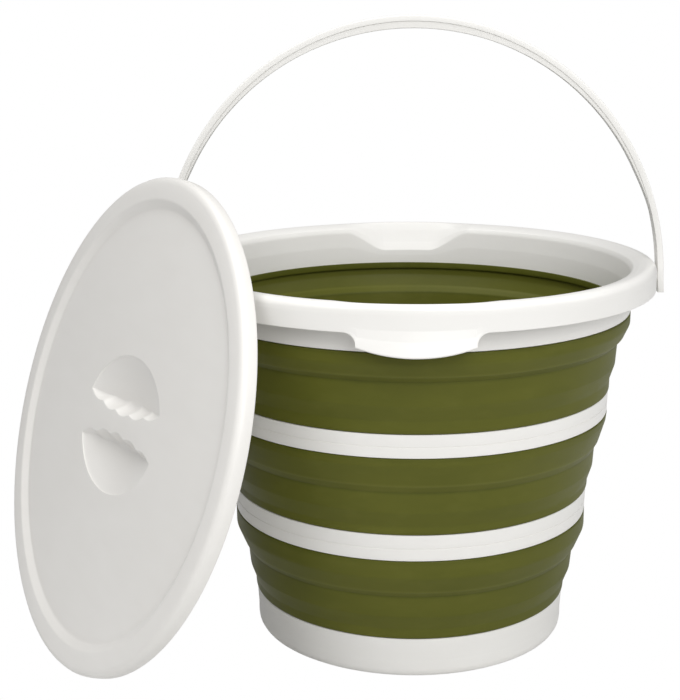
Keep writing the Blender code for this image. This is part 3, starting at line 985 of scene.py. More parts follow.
@dataclass(frozen=True)
class Hoop:
    """A stiff hoop with its moulding seam."""

    measure: Measure
    node: str
    body: str
    foot_radius: float
    head_radius: float
    wall: float = 0.0024
    edge_round: float = 0.0006
    seam_share: float = 0.45
    seam_width: float = 0.0006
    seam_depth: float = 0.0003
    # Width of the painted shade along the seam's groove
    seam_shade_width: float = 0.0005
    spacing: float = 0.004

    def build(self, finishes: Finishes) -> list[bpy.types.Object]:
        """Build the hoop.

        Args:
            finishes: the bucket's finishes.

        Returns:
            The pieces.
        """
        foot = self.measure.foot(self.node)
        head = self.measure.head(self.node)
        seam = foot + (head - foot) * self.seam_share
        seam_middle = seam + self.seam_width / 2
        seam_radius = self.foot_radius + (self.head_radius - self.foot_radius) * self.seam_share
        seam_round = self.seam_width / 4
        corners = [
            Corner(self.head_radius, head, self.edge_round),
            Corner(seam_radius, seam + self.seam_width, seam_round),
            Corner(seam_radius - self.seam_depth, seam_middle, seam_round),
            Corner(seam_radius, seam, seam_round),
            Corner(self.foot_radius, foot, self.edge_round),
            Corner(self.foot_radius - self.wall, foot, self.edge_round),
            Corner(self.head_radius - self.wall, head, self.edge_round),
        ]
        points = Section(corners, closed=True).points(self.spacing)
        hoop = turned(self.node + "_hoop", points, finishes.white)
        # Painted shade along the seam's groove
        shade_width = self.seam_shade_width
        paint(hoop, "hollow", lambda place: near(place.z, seam_middle, shade_width))
        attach(hoop, self.body)
        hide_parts(self.node)
        return [hoop]


@dataclass(frozen=True)
class Bellows:
    """A folding band between two stiff pieces."""

    measure: Measure
    node: str
    bodies: tuple[str, str]
    foot: float
    head: float
    foot_radii: Point
    head_radii: Point
    foot_collar: float
    head_collar: float
    foot_wall: float
    head_wall: float
    # Bends from the foot up, as shares of the band's height and of its change of reach
    bend_heights: tuple[float, ...]
    bend_reaches: tuple[float, ...]
    proud_foot: float = 0.0006
    proud_head: float = 0.0002
    wall: float = 0.0017
    gap: float = 0.0003
    fold_travel: float = 0.064
    bend_rounds: tuple[float, ...] = (0.005, 0.003, 0.0011, 0.0009, 0.006)
    collar_round: float = 0.0004
    edge_round: float = 0.001
    spacing: float = 0.0016
    wave: float = 0.00016
    wave_ease: float = 4.0
    # Size, count round the band, start and lean of each wave
    waves: tuple[Wave, ...] = (
        (1.0, 5.0, 1.3, 0.0),
        (0.7, 8.0, 2.9, 3.0),
        (0.5, 13.0, 0.4, -4.0),
    )
    crease_shade: float = 0.55
    crease_width: float = 0.0012
    # Painted shade: in the groove, under the head, over the foot, and on the inner strip shadowed
    # by the lip
    groove_shade: float = 0.8
    groove_width: float = 0.0016
    edge_shade: float = 0.6
    under_head: float = 0.0035
    over_foot: float = 0.0025
    lip_shadow_depth: float = 0.0032

    def build(self, finishes: Finishes) -> list[bpy.types.Object]:
        """Build the band and let it turn inside out between its two bodies.

        Args:
            finishes: the bucket's finishes.

        Returns:
            The pieces.
        """
        section = Section(self._corners()).walled(self.wall, self.wall * LEAST_ROUND_SHARE)
        points = section.points(self.spacing)
        name = self.node + "_band"
        band = turned(name, points, finishes.rubber, wobble=self._wobble)
        height = self.head - self.foot
        groove, crease = [self.foot + height * share for share in self.bend_heights[2:4]]
        shade, width = self.crease_shade, self.crease_width
        paint(band, "crease", lambda place: shade * near(place.z, crease, width))
        # Painted shade in the groove, by both collars and on the inner strip under the lip
        paint(band, "hollow", lambda place: self._painted_shade(place, groove))
        fold_foot = self.foot + height * self.bend_heights[0]
        end = (0.0, 0.0, fold_foot + self.fold_travel / 2)
        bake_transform(band)
        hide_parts(self.node)
        return [band]

    def _corners(self) -> list[Corner]:
        """Corners of the visible side, from the upper collar to the lower one.

        Returns:
            The corners.
        """
        foot_reach = self.foot_radii[0] + self.proud_foot
        head_reach = self.head_radii[0] + self.proud_head
        height = self.head - self.foot
        reach = head_reach - foot_reach
        head_gap = self.head_wall + self.gap
        foot_gap = self.foot_wall + self.gap
        corners = [
            Corner(self.head_radii[1] - head_gap, self.head + self.head_collar),
            Corner(self.head_radii[0] - head_gap, self.head - self.gap, self.collar_round),
            Corner(head_reach, self.head - self.gap, self.edge_round),
        ]
        bends = list(zip(self.bend_reaches, self.bend_heights, self.bend_rounds))
        for reach_share, height_share, rounding in reversed(bends):
            bend = foot_reach + reach * reach_share
            corners.append(Corner(bend, self.foot + height * height_share, rounding))
        corners += [
            Corner(foot_reach, self.foot + self.gap, self.edge_round),
            Corner(self.foot_radii[0] - foot_gap, self.foot + self.gap, self.collar_round),
            Corner(self.foot_radii[1] - foot_gap, self.foot - self.foot_collar),
        ]
        return corners

    def _wobble(self, angle: float, reach: float, height: float) -> float:
        """Slight unevenness of the soft wall, none at its stiff ends.

        Args:
            angle: direction from the axis.
            reach: distance from the axis, which makes no difference.
            height: height of the point.

        Returns:
            The change of reach.
        """
        share = (height - self.foot) / (self.head - self.foot)
        if share <= 0.0 or share >= 1.0:
            return 0.0
        swing = 0.0
        for size, count, start, lean in self.waves:
            swing += size * math.sin(count * angle + start + lean * share)
        ease = smooth(self.wave_ease * share) * smooth(self.wave_ease * (1.0 - share))
        return self.wave * swing * ease

    def _painted_shade(self, place: Vector, groove: float) -> float:
        """Painted shade at a point: in the groove, under the upper edge, over the lower edge and on
        the inner strip shadowed by the lip.

        Args:
            place: the point.
            groove: height of the groove.

        Returns:
            The share, from 0 to 1.
        """
        sunk = self.groove_shade * near(place.z, groove, self.groove_width)
        edges = near(place.z, self.head, self.under_head) + near(place.z, self.foot, self.over_foot)
        inner = smooth((self.head_radii[0] - self.wall / 2 - place.xy.length) / self.gap)
        strip = inner * smooth((place.z - self.head + self.lip_shadow_depth) / self.gap)
        return min(1.0, sunk + self.edge_shade * edges + strip)


@dataclass(frozen=True)
class Rim:
    """The rim: neck, lip and skirt, with a scoop and a tongue front and back."""

    measure: Measure
    neck_radius: float = 0.144
    wall: float = 0.0026
    skirt_height: float = 0.0177
    scoop_half_width: float = 0.0455
    scoop_ramp: float = 0.62
    ramp_share: float = 0.3
    tongue_half_width: float = 0.034
    tongue_fillet: float = 0.0084
    corner_drop: float = 0.0077
    centre_drop: float = 0.0126
    flare: float = 0.0048
    flare_band: float = 0.004
    waist_flare: float = 0.3
    waist_share: float = 0.42
    waist_lift: float = 0.0012
    edge_round: float = 0.0009
    hole_radius: float = 0.0031
    hole_steps: int = 32
    station_count: int = 300
    corner_share: float = 0.12
    corner_steps: int = 5
    curve_steps: int = 12
    # Painted shade on the neck under the skirt, and its width
    neck_shade: float = 0.25
    neck_shade_width: float = 0.004
    # Corners from the skirt over the lip to the neck's foot, as shares of the rim's width and
    # rise, away from the scoops and in their middle, and the rounding at each
    plain_shares: tuple[Point, ...] = (
        (1.0, 0.78),
        (0.985, 0.885),
        (0.86, 0.958),
        (0.66, 0.975),
        (0.38, 0.938),
        (0.17, 0.895),
        (0.085, 0.81),
        (0.022, 0.46),
        (0.0, 0.0),
    )
    scoop_shares: tuple[Point, ...] = (
        (1.0, 0.79),
        (0.985, 0.9),
        (0.87, 0.98),
        (0.74, 0.965),
        (0.53, 0.8),
        (0.25, 0.55),
        (0.025, 0.375),
        (0.012, 0.25),
        (0.0, 0.0),
    )
    rounds: tuple[float, ...] = (0.006, 0.005, 0.005, 0.006, 0.005, 0.0022, 0.006, 0.01, 0.0)
    scoop_rounds: tuple[float, ...] = (0.006, 0.005, 0.004, 0.005, 0.01, 0.01, 0.0016, 0.004, 0.0)

    def build(self, finishes: Finishes) -> list[bpy.types.Object]:
        """Build the rim.

        Args:
            finishes: the bucket's finishes.

        Returns:
            The pieces.
        """
        skin = Skin()
        rows = []
        for angle in self._stations():
            points = self._section(angle).points()
            places = [(r * math.cos(angle), r * math.sin(angle), z) for r, z in points]
            rows.append(skin.row(places))
        skin.strips(rows, closed=True)
        rim = skin.finish("rim_shell", finishes.white)
        for side in Side:
            cut(rim, self._hole(side, finishes.white), "DIFFERENCE")
        # Painted shade round the neck, in the shadow of the skirt and lip
        reach = self.neck_radius - self.wall / 2
        shade, width = self.neck_shade, self.neck_shade_width
        paint(rim, "hollow", lambda place: shade * near(place.xy.length, reach, width))
        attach(rim, "rim")
        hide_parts("rim")
        return [rim]

    def _skirt_radius(self) -> float:
        """Radius of the skirt's outer face."""
        return self.measure.reach("rim")

    def _skirt_foot(self) -> float:
        """Height of the skirt's edge away from the tongues."""
        return self.measure.head("rim") - self.skirt_height

    def _neck_foot(self) -> float:
        """Height of the neck's foot, where the upper band's head meets it."""
        return self.measure.foot("rim")

    @staticmethod
    def _offset(angle: float) -> float:
        """Angle from a direction to the middle of the nearer grip."""
        offset = (angle + QUARTER) % math.pi
        return min(offset, math.pi - offset)

    def _drop(self, offset: float) -> float:
        """How far the skirt's edge hangs below its usual height.

        Args:
            offset: angle from the grip's middle.

        Returns:
            The drop.
        """
        along = offset * self._skirt_radius()
        if along >= self.tongue_half_width + self.tongue_fillet:
            return 0.0
        if along > self.tongue_half_width:
            share = 1.0 - (along - self.tongue_half_width) / self.tongue_fillet
            return self.corner_drop * (1.0 - math.sqrt(max(1.0 - share * share, 0.0)))
        bow = self.centre_drop - self.corner_drop
        return self.centre_drop - bow * (along / self.tongue_half_width) ** 2

    def _scoop(self, offset: float) -> float:
        """How much of the scoop's outline shows.

        Args:
            offset: angle from the grip's middle.

        Returns:
            The share, from 0 to 1.
        """
        bore = self.neck_radius - self.wall
        share = (1.0 - offset * bore / self.scoop_half_width) / self.scoop_ramp
        ramp = min(max(share, 0.0), 1.0)
        return self.ramp_share * ramp + (1.0 - self.ramp_share) * smooth(share)

    def _section(self, angle: float) -> Section:
        """Closed section of the rim's wall at an angle.

        Args:
            angle: direction from the axis.

        Returns:
            The section.
        """
        offset = self._offset(angle)
        drop = self._drop(offset)
        scoop = self._scoop(offset)
        share = drop / self.centre_drop
        skirt = self._skirt_radius()
        foot = self._skirt_foot()
        bore = self.neck_radius - self.wall
        neck_foot = self._neck_foot()
        rise = self.measure.head("rim") - neck_foot
        reach = skirt - bore
        waist = foot - drop * self.waist_share + self.waist_lift
        corners = [
            Corner(skirt + self.flare * share, foot - drop),
            Corner(skirt + self.flare * share * self.waist_flare, waist, self.flare_band),
            Corner(skirt, foot + self.flare_band * (1.0 - share / 2), self.flare_band),
        ]
        rounds = zip(self.rounds, self.scoop_rounds)
        for plain, scooped, (plain_round, scoop_round) in zip(
            self.plain_shares, self.scoop_shares, rounds
        ):
            reach_share = plain[0] + (scooped[0] - plain[0]) * scoop
            height_share = plain[1] + (scooped[1] - plain[1]) * scoop
            rounding = plain_round + (scoop_round - plain_round) * scoop
            place = (bore + reach * reach_share, neck_foot + rise * height_share)
            corners.append(Corner(place[0], place[1], rounding))
        return Section(corners[::-1]).walled(self.wall, self.edge_round)

    def _stations(self) -> list[float]:
        """Angles of the stations: even steps, and close ones at each tongue's corners.

        Returns:
            The angles in order.
        """
        stations = [math.tau * step / self.station_count for step in range(self.station_count)]
        corner = self.tongue_half_width / self._skirt_radius()
        fillet = self.tongue_fillet / self._skirt_radius()
        scoop = self.scoop_half_width / (self.neck_radius - self.wall)
        offsets = []
        for step in range(self.corner_steps + 1):
            offsets.append(corner * (1.0 - self.corner_share * step / self.corner_steps))
        for step in range(self.curve_steps + 1):
            share = step / self.curve_steps
            offsets.append(corner + fillet * (1.0 - math.cos(QUARTER * share)))
            offsets.append(scoop * (1.0 - self.scoop_ramp * share))
        for tab in Tab:
            for offset in offsets:
                stations += [(tab.value + offset) % math.tau, (tab.value - offset) % math.tau]
        return sorted({round(station, ANGLE_DIGITS) for station in stations})

    def _hole(self, side: Side, material: bpy.types.Material) -> bpy.types.Object:
        """Shape that cuts a pivot hole.

        Args:
            side: which end of the pivot axis.
            material: any finish.

        Returns:
            The cutting shape.
        """
        pivot = self.measure.pivot
        reach = self._skirt_radius() - self.wall / 2
        skin = Skin()
        rows = []
        for shift in (-2 * self.wall, 2 * self.wall):
            places = []
            for step in range(self.hole_steps):
                angle = math.tau * (step + 0.5) / self.hole_steps
                y = self.hole_radius * math.cos(angle)
                z = pivot.z + self.hole_radius * math.sin(angle)
                places.append((side.value * (reach + shift), y, z))
            rows.append(skin.row(places))
        skin.strip(rows[0], rows[1])
        skin.shape.faces.new(rows[0])
        skin.shape.faces.new(rows[1])
        return skin.finish("hole_cutter", material)


@dataclass(frozen=True)
class Bail:
    """The carrying bail: a strip with a deeper ribbed grip and two studs."""

    measure: Measure
    half_span: float = 0.166
    centre_drop: float = 0.0026
    width: float = 0.012
    thickness: float = 0.004
    strip_round: float = 0.0011
    under_round_share: float = 0.6
    grip_round_share: float = 0.8
    leg_flare: float = 0.0008
    grip_width: float = 0.0106
    grip_clearance: float = 0.0005
    grip_start: float = math.radians(14)
    grip_full: float = math.radians(26)
    grip_wall: float = 0.0014
    pocket_count: int = 18
    pocket_span: float = math.radians(100)
    rib: float = 0.0018
    stud_radius: float = 0.0026
    shoulder_radius: float = 0.0048
    head_radius: float = 0.0037
    head_length: float = 0.0018
    stud_rounds: tuple[float, ...] = (0.0005, 0.0003, 0.0002, 0.0004, 0.0005)
    stud_steps: int = 48
    play: float = 0.0005
    rim_wall: float = Rim.wall
    stations: int = 540
    # Stations down each leg, as shares of its length
    leg_shares: tuple[float, ...] = (0.5, 0.93, 1.0)
    crease_round: float = 0.0003
    least_grip: float = 0.00003
    least_pocket: float = 0.00002
    pocket_edge: float = 0.0005
    # Painted shade on the legs below the pivot, beside the rim's skirt
    leg_shade: float = 0.5
    leg_shade_drop: float = 0.01
    leg_shade_width: float = 0.006

    def build(self, finishes: Finishes) -> list[bpy.types.Object]:
        """Build the bail.

        Args:
            finishes: the bucket's finishes.

        Returns:
            The pieces.
        """
        skin = Skin()
        rows = [skin.row(places) for places in self._rows()]
        skin.strips(rows)
        skin.shape.faces.new(rows[0])
        skin.shape.faces.new(rows[-1])
        bail = skin.finish("bail_strip", finishes.white)
        for side in Side:
            cut(bail, self._stud(side, finishes.white), "UNION")
        # Painted shade on the legs below the pivot, beside the rim's skirt
        height = self.measure.pivot.z - self.leg_shade_drop
        shade, width = self.leg_shade, self.leg_shade_width
        paint(bail, "hollow", lambda place: shade * near(place.z, height, width))
        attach(bail, "bail")
        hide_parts("bail")
        return [bail]

    def _rise(self) -> float:
        """Height of the bail's top over the pivot."""
        return self.measure.head("bail") - self.measure.pivot.z

    def _reach(self, angle: float, inset: float) -> float:
        """Distance from the pivot axis to the oval drawn inward by an inset.

        Args:
            angle: direction from the pivot, 0 to the right.
            inset: how far inward.

        Returns:
            The distance.
        """
        rise = self._rise() + self.centre_drop - inset
        across = math.cos(angle) / (self.half_span - inset)
        up = math.sin(angle) / rise
        offset = self.centre_drop / rise
        square = across * across + up * up
        middle = up * offset
        root = math.sqrt(middle * middle + square * (1.0 - offset * offset))
        return (root - middle) / square

    def _grip_depth(self, angle: float) -> float:
        """Depth of the whole handle at an angle, from its outer face to the grip's inner face.

        Args:
            angle: direction from the pivot, 0 to the right.

        Returns:
            The depth.
        """
        from_leg = min(angle, math.pi - angle)
        full = smooth((from_leg - self.grip_start) / (self.grip_full - self.grip_start))
        grip_reach = self.measure.reach("rim") + self.grip_clearance
        deep = self._reach(angle, 0.0) - grip_reach
        return self.thickness + max(full * (deep - self.thickness), self.least_grip)

    def _pocket_depth(self, angle: float) -> float:
        """Depth at which the grip's pockets or ribs end at an angle.

        Args:
            angle: direction from the pivot, 0 to the right.

        Returns:
            The depth.
        """
        deep = self._grip_depth(angle)
        closed = deep - self.least_pocket
        first = QUARTER - self.pocket_span / 2
        pitch = self.pocket_span / self.pocket_count
        place = (angle - first) / pitch
        if place < 0.0 or place > self.pocket_count:
            return closed
        from_rib = min(place % 1.0, 1.0 - place % 1.0) * pitch * self.half_span - self.rib / 2
        open_share = smooth(from_rib / self.pocket_edge + 0.5)
        return closed - open_share * (deep - self.thickness)

    def _rows(self) -> list[list[Triple]]:
        """Sections of the handle from the right leg's foot over the top to the left leg's foot.

        Returns:
            Each section's points.
        """
        pivot = self.measure.pivot
        leg = pivot.z - self.measure.foot("bail")
        rows = []
        for share in reversed(self.leg_shares):
            shift = self.leg_flare * share
            rows.append(self._place(0.0, shift, -leg * share))
        for step in range(self.stations + 1):
            angle = math.pi * step / self.stations
            rows.append(self._place(angle, 0.0, 0.0))
        for share in self.leg_shares:
            shift = -self.leg_flare * share
            rows.append(self._place(math.pi, shift, -leg * share))
        return rows

    def _place(self, angle: float, across: float, up: float) -> list[Triple]:
        """Set one section in its place.

        Args:
            angle: direction from the pivot, in which the section points outward.
            across: shift along X.
            up: shift along Z.

        Returns:
            The section's points.
        """
        pivot = self.measure.pivot
        outer = self._reach(angle, 0.0)
        points = []
        for depth, y in self._outline(angle):
            reach = outer - depth
            x = reach * math.cos(angle) + across
            z = pivot.z + reach * math.sin(angle) + up
            points.append((x, y, z))
        return points

    def _outline(self, angle: float) -> list[Point]:
        """Closed outline of the section at an angle, as depth and place across the width.

        Args:
            angle: direction from the pivot, 0 to the right.

        Returns:
            The outline's points.
        """
        half = self.width / 2
        grip = self.grip_width / 2
        pocket = grip - self.grip_wall
        thick = self.thickness
        deep = self._grip_depth(angle)
        roof = self._pocket_depth(angle)
        small = self.crease_round
        right = [
            Corner(0.0, half, self.strip_round),
            Corner(thick, half, self.strip_round * self.under_round_share),
            Corner(thick, grip, small),
            Corner(deep, grip, self.strip_round * self.grip_round_share),
            Corner(deep, pocket, small),
            Corner(roof, pocket, small),
        ]
        left = [Corner(corner.reach, -corner.height, corner.round) for corner in reversed(right)]
        return Section(right + left, closed=True).points()

    def _stud(self, side: Side, material: bpy.types.Material) -> bpy.types.Object:
        """Build one stud with its shoulder and snap-in head.

        Args:
            side: which end of the pivot axis.
            material: its finish.

        Returns:
            The stud.
        """
        root = self._reach(0.0, self.thickness / 2)
        shoulder = self.measure.reach("rim") + self.play
        head = self.measure.reach("rim") - self.rim_wall - self.play
        tip = head - self.head_length
        places = (
            (self.shoulder_radius, shoulder),
            (self.stud_radius, shoulder),
            (self.stud_radius, head),
            (self.head_radius, head),
            (self.stud_radius, tip),
        )
        corners = [Corner(0.0, root), Corner(self.shoulder_radius, root)]
        for (reach, height), rounding in zip(places, self.stud_rounds):
            corners.append(Corner(reach, height, rounding))
        corners.append(Corner(0.0, tip))
        points = Section(corners).points()
        stud = turned("stud_tool", points, material, closed=False, steps=self.stud_steps)
        place = Matrix.Translation(self.measure.pivot)
        outward = Matrix.Rotation(side.value * QUARTER, 4, "Y")
        half_step = Matrix.Rotation(math.pi / self.stud_steps, 4, "Z")
        stud.data.transform(place @ outward @ half_step)
        return stud


@dataclass(frozen=True)
class Lid:
    """The lid with its raised border and two finger recesses beside a bar."""

    measure: Measure
    radius: float = 0.1606
    depth: float = 0.01
    edge_round: float = 0.005
    wall: float = 0.0024
    border_inner: float = 0.146
    panel_radius: float = 0.139
    panel_drop: float = 0.0034
    panel_thickness: float = 0.0026
    ring_radius: float = 0.1418
    ring_depth: float = 0.0036
    ring_round: float = 0.0005
    ring_foot_round: float = 0.001
    border_round: float = 0.004
    border_slope: float = 0.1
    underside_round: float = 0.002
    spacing: float = 0.006
    recess_half_length: float = 0.0565
    recess_reach: float = 0.0445
    recess_shallow: float = 0.0006
    recess_deep: float = 0.0105
    recess_wall: float = 0.0018
    recess_round: float = 0.0018
    recess_foot_round: float = 0.003
    tooth_round: float = 0.0005
    bar_foot_round: float = 0.0046
    recess_turn: float = math.radians(3.3)
    recess_shift: Point = (0.0029, -0.0009)
    recess_middle: float = 0.48
    bar_half_width: float = 0.0078
    bar_bow: float = 0.0074
    bar_draft: float = 0.0055
    scallop_depth: float = 0.0021
    scallop_foot: float = 0.4
    scallop_count: int = 5
    scallop_steps: int = 14
    arc_steps: int = 72
    mouth_steps: int = 4
    foot_steps: int = 7
    mouth_share: float = 0.3
    foot_share: float = 0.6
    # Rows of a recess's floor, as shares of the way from its sides to its middle
    floor_shares: tuple[float, ...] = (0.05, 0.11, 0.19, 0.29, 0.41, 0.55, 0.7, 0.85)
    # Width of the painted shade in the groove beside the border
    groove_width: float = 0.003
    lean: float = math.radians(17.4)
    azimuth: float = math.radians(-147.6)

    def build(self, finishes: Finishes) -> list[bpy.types.Object]:
        """Build the lid and lean it where the frame has it.

        Args:
            finishes: the bucket's finishes.

        Returns:
            The pieces.
        """
        skin = Skin()
        top, bottom = self._border(skin)
        low = -(self.panel_drop + self.panel_thickness)
        holes = {-self.panel_drop: [top], low: [bottom]}
        for recess in Recess:
            holes[-self.panel_drop].append(self._recess(skin, recess, 0.0, -self.panel_drop))
            holes[low].append(self._recess(skin, recess, self.recess_wall, low))
        for loops in holes.values():
            skin.filled(loops)
        lid = skin.finish("lid_shell", finishes.lid)
        # Painted shade in the groove beside the border and deep in the recesses
        paint(lid, "hollow", self._painted_shade)
        lid.data.transform(self._placement())
        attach(lid, "lid")
        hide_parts("lid")
        return [lid]

    def _placement(self) -> Matrix:
        """Placement that puts the lid where the frame's own lid leans.

        Returns:
            The placement.
        """
        outward = Vector((math.cos(self.azimuth), math.sin(self.azimuth), 0.0))
        normal = outward * math.cos(self.lean) + Vector((0.0, 0.0, math.sin(self.lean)))
        across = Vector((0.0, 0.0, 1.0)).cross(outward).normalized()
        up_slope = normal.cross(across)
        lows = []
        highs = []
        vertices = bpy.data.objects["lid"].data.vertices
        for axis in (across, up_slope, normal):
            reaches = [vertex.co.dot(axis) for vertex in vertices]
            lows.append(min(reaches))
            highs.append(max(reaches))
        middle = across * (lows[0] + highs[0]) / 2 + up_slope * (lows[1] + highs[1]) / 2
        placement = Matrix((across, up_slope, normal)).transposed().to_4x4()
        placement.translation = middle + normal * highs[2]
        return placement

    def _border(self, skin: Skin) -> tuple[Row, Row]:
        """Build the raised border, the edge and the locating ring.

        Args:
            skin: the lid's skin.

        Returns:
            The rows where the panel's top and its underside begin.
        """
        step = self.border_inner - self.panel_radius
        low = -(self.panel_drop + self.panel_thickness)
        inner = self.ring_radius - self.wall
        slope = step * self.border_slope
        small = self.ring_round
        corners = [
            Corner(self.panel_radius - step, -self.panel_drop),
            Corner(self.panel_radius + slope, -self.panel_drop, self.border_round),
            Corner(self.border_inner - slope, 0.0, self.border_round),
            Corner(self.radius, 0.0, self.edge_round),
            Corner(self.radius, -self.depth, small * 2),
            Corner(self.radius - self.wall, -self.depth, small),
            Corner(self.radius - self.wall, -self.wall, self.edge_round / 2),
            Corner(self.border_inner + self.wall / 2, -self.wall, self.underside_round),
            Corner(self.ring_radius, low, self.ring_foot_round),
            Corner(self.ring_radius, low - self.ring_depth, small),
            Corner(inner, low - self.ring_depth, small),
            Corner(inner, low, small),
            Corner(inner - self.wall, low),
        ]
        points = Section(corners).points(self.spacing)
        rows = [skin.ring(reach, height) for reach, height in points]
        skin.strips(rows)
        return rows[0], rows[-1]

    def _floor_depth(self, place: Vector) -> float:
        """Depth of a recess's dished floor, most at its middle and least at the oval.

        Args:
            place: the point in plan.

        Returns:
            The depth.
        """
        across = place.x / self.recess_half_length
        along = place.y / self.recess_reach
        share = max(1.0 - across * across - along * along, 0.0)
        return self.recess_shallow + (self.recess_deep - self.recess_shallow) * share

    def _recess_loops(self, grow: float) -> tuple[list[Vector], list[Vector]]:
        """Outline of a recess: half an oval closed by the bar's scalloped side.

        Args:
            grow: how far outside the recess the outline runs.

        Returns:
            The outline, and the line where its sides meet the floor.
        """
        half_length = self.recess_half_length + grow
        reach = self.recess_reach + grow
        start = math.asin((self.bar_half_width + self.bar_bow - grow) / reach)
        outline = []
        for step in range(self.arc_steps + 1):
            angle = start + (math.pi - 2 * start) * step / self.arc_steps
            outline.append(Vector((half_length * math.cos(angle), reach * math.sin(angle))))
        foot = list(outline)
        half_chord = half_length * math.cos(start)
        steps = self.scallop_steps * self.scallop_count
        for step in range(1, steps):
            along = 2 * step / steps - 1
            edge = self.bar_half_width - grow + self.bar_bow * along * along
            bulge = self.scallop_depth * abs(math.sin(math.pi * step / self.scallop_steps))
            place = Vector((half_chord * along, edge))
            draft = self.bar_draft * self._floor_depth(place) / self.recess_deep
            outline.append(place - Vector((0.0, bulge)))
            foot.append(place + Vector((0.0, draft - bulge * self.scallop_foot)))
        return outline, foot

    def _recess(self, skin: Skin, recess: Recess, grow: float, level: float) -> Row:
        """Build one side of a recess cup.

        Args:
            skin: the lid's skin.
            recess: which recess.
            grow: 0 for the inside, or the cup's wall for its outside.
            level: height of the panel's face on this side.

        Returns:
            The row in the panel's face.
        """
        outline, foot = self._recess_loops(grow)
        middle = Vector((0.0, self.recess_reach * self.recess_middle))
        lift = Vector((0.0, 0.0, level))
        columns = []
        for index, (edge, low) in enumerate(zip(outline, foot)):
            along = outline[(index + 1) % len(outline)] - outline[index - 1]
            beside_bar = smooth((edge - low).length / self.recess_foot_round)
            mouth_round = self.recess_round + (self.tooth_round - self.recess_round) * beside_bar
            foot_round = self.recess_foot_round
            foot_round += (self.bar_foot_round - foot_round) * beside_bar
            outward = Vector((along.y, -along.x)).normalized() * mouth_round
            inward = low + (middle - low).normalized() * foot_round
            mouth = (edge + outward).to_3d() + lift
            corner = edge.to_3d() + lift
            bottom = self._on_floor(low, grow, level)
            side = bottom - corner
            upper = side.normalized() * min(mouth_round, side.length * self.mouth_share)
            lower = side.normalized() * min(foot_round, side.length * self.foot_share)
            floor_start = self._on_floor(inward, grow, level)
            column = bent(mouth, corner, corner + upper, self.mouth_steps)
            column += bent(bottom - lower, bottom, floor_start, self.foot_steps)
            for share in self.floor_shares:
                column.append(self._on_floor(inward.lerp(middle, share), grow, level))
            columns.append(column)
        shift = Matrix.Translation((*self.recess_shift, 0.0))
        spin = shift @ Matrix.Rotation(recess.value + self.recess_turn, 4, "Z")
        rows = [skin.row([spin @ place for place in places]) for places in zip(*columns)]
        rows.append(skin.row([spin @ self._on_floor(middle, grow, level)]))
        skin.strips(rows)
        return rows[0]

    def _on_floor(self, place: Vector, grow: float, level: float) -> Vector:
        """Put a point on a recess's floor.

        Args:
            place: the point in plan.
            grow: 0 for the inside, or the cup's wall for its outside.
            level: the panel's face, which the floor never rises above.

        Returns:
            The point.
        """
        height = -(self.panel_drop + grow + self._floor_depth(place))
        return Vector((place.x, place.y, min(level, height)))

    def _painted_shade(self, place: Vector) -> float:
        """Painted shade at a point: in the groove beside the border and deeper in a recess.

        Args:
            place: the point, before the lid is leaned.

        Returns:
            The share, from 0 to 1.
        """
        groove = near(place.xy.length, self.panel_radius, self.groove_width)
        sunk = smooth((-self.panel_drop - place.z) / self.recess_deep)
        return min(1.0, (groove + sunk) / 2)


@dataclass(frozen=True)
class Lamp:
    """A soft square lamp that faces the bucket."""

    name: str
    place: Triple
    size: float
    power: float
    aim: Triple = (0.0, 0.0, 0.17)

    def hang(self) -> None:
        """Hang the lamp."""
        data = bpy.data.lights.new(self.name, "AREA")
        data.energy = self.power
        data.size = self.size
        lamp = bpy.data.objects.new(self.name, data)
        lamp.location = self.place
        aim = Vector(self.aim) - Vector(self.place)
        lamp.rotation_euler = aim.to_track_quat("-Z", "Y").to_euler()
        bpy.context.scene.collection.objects.link(lamp)


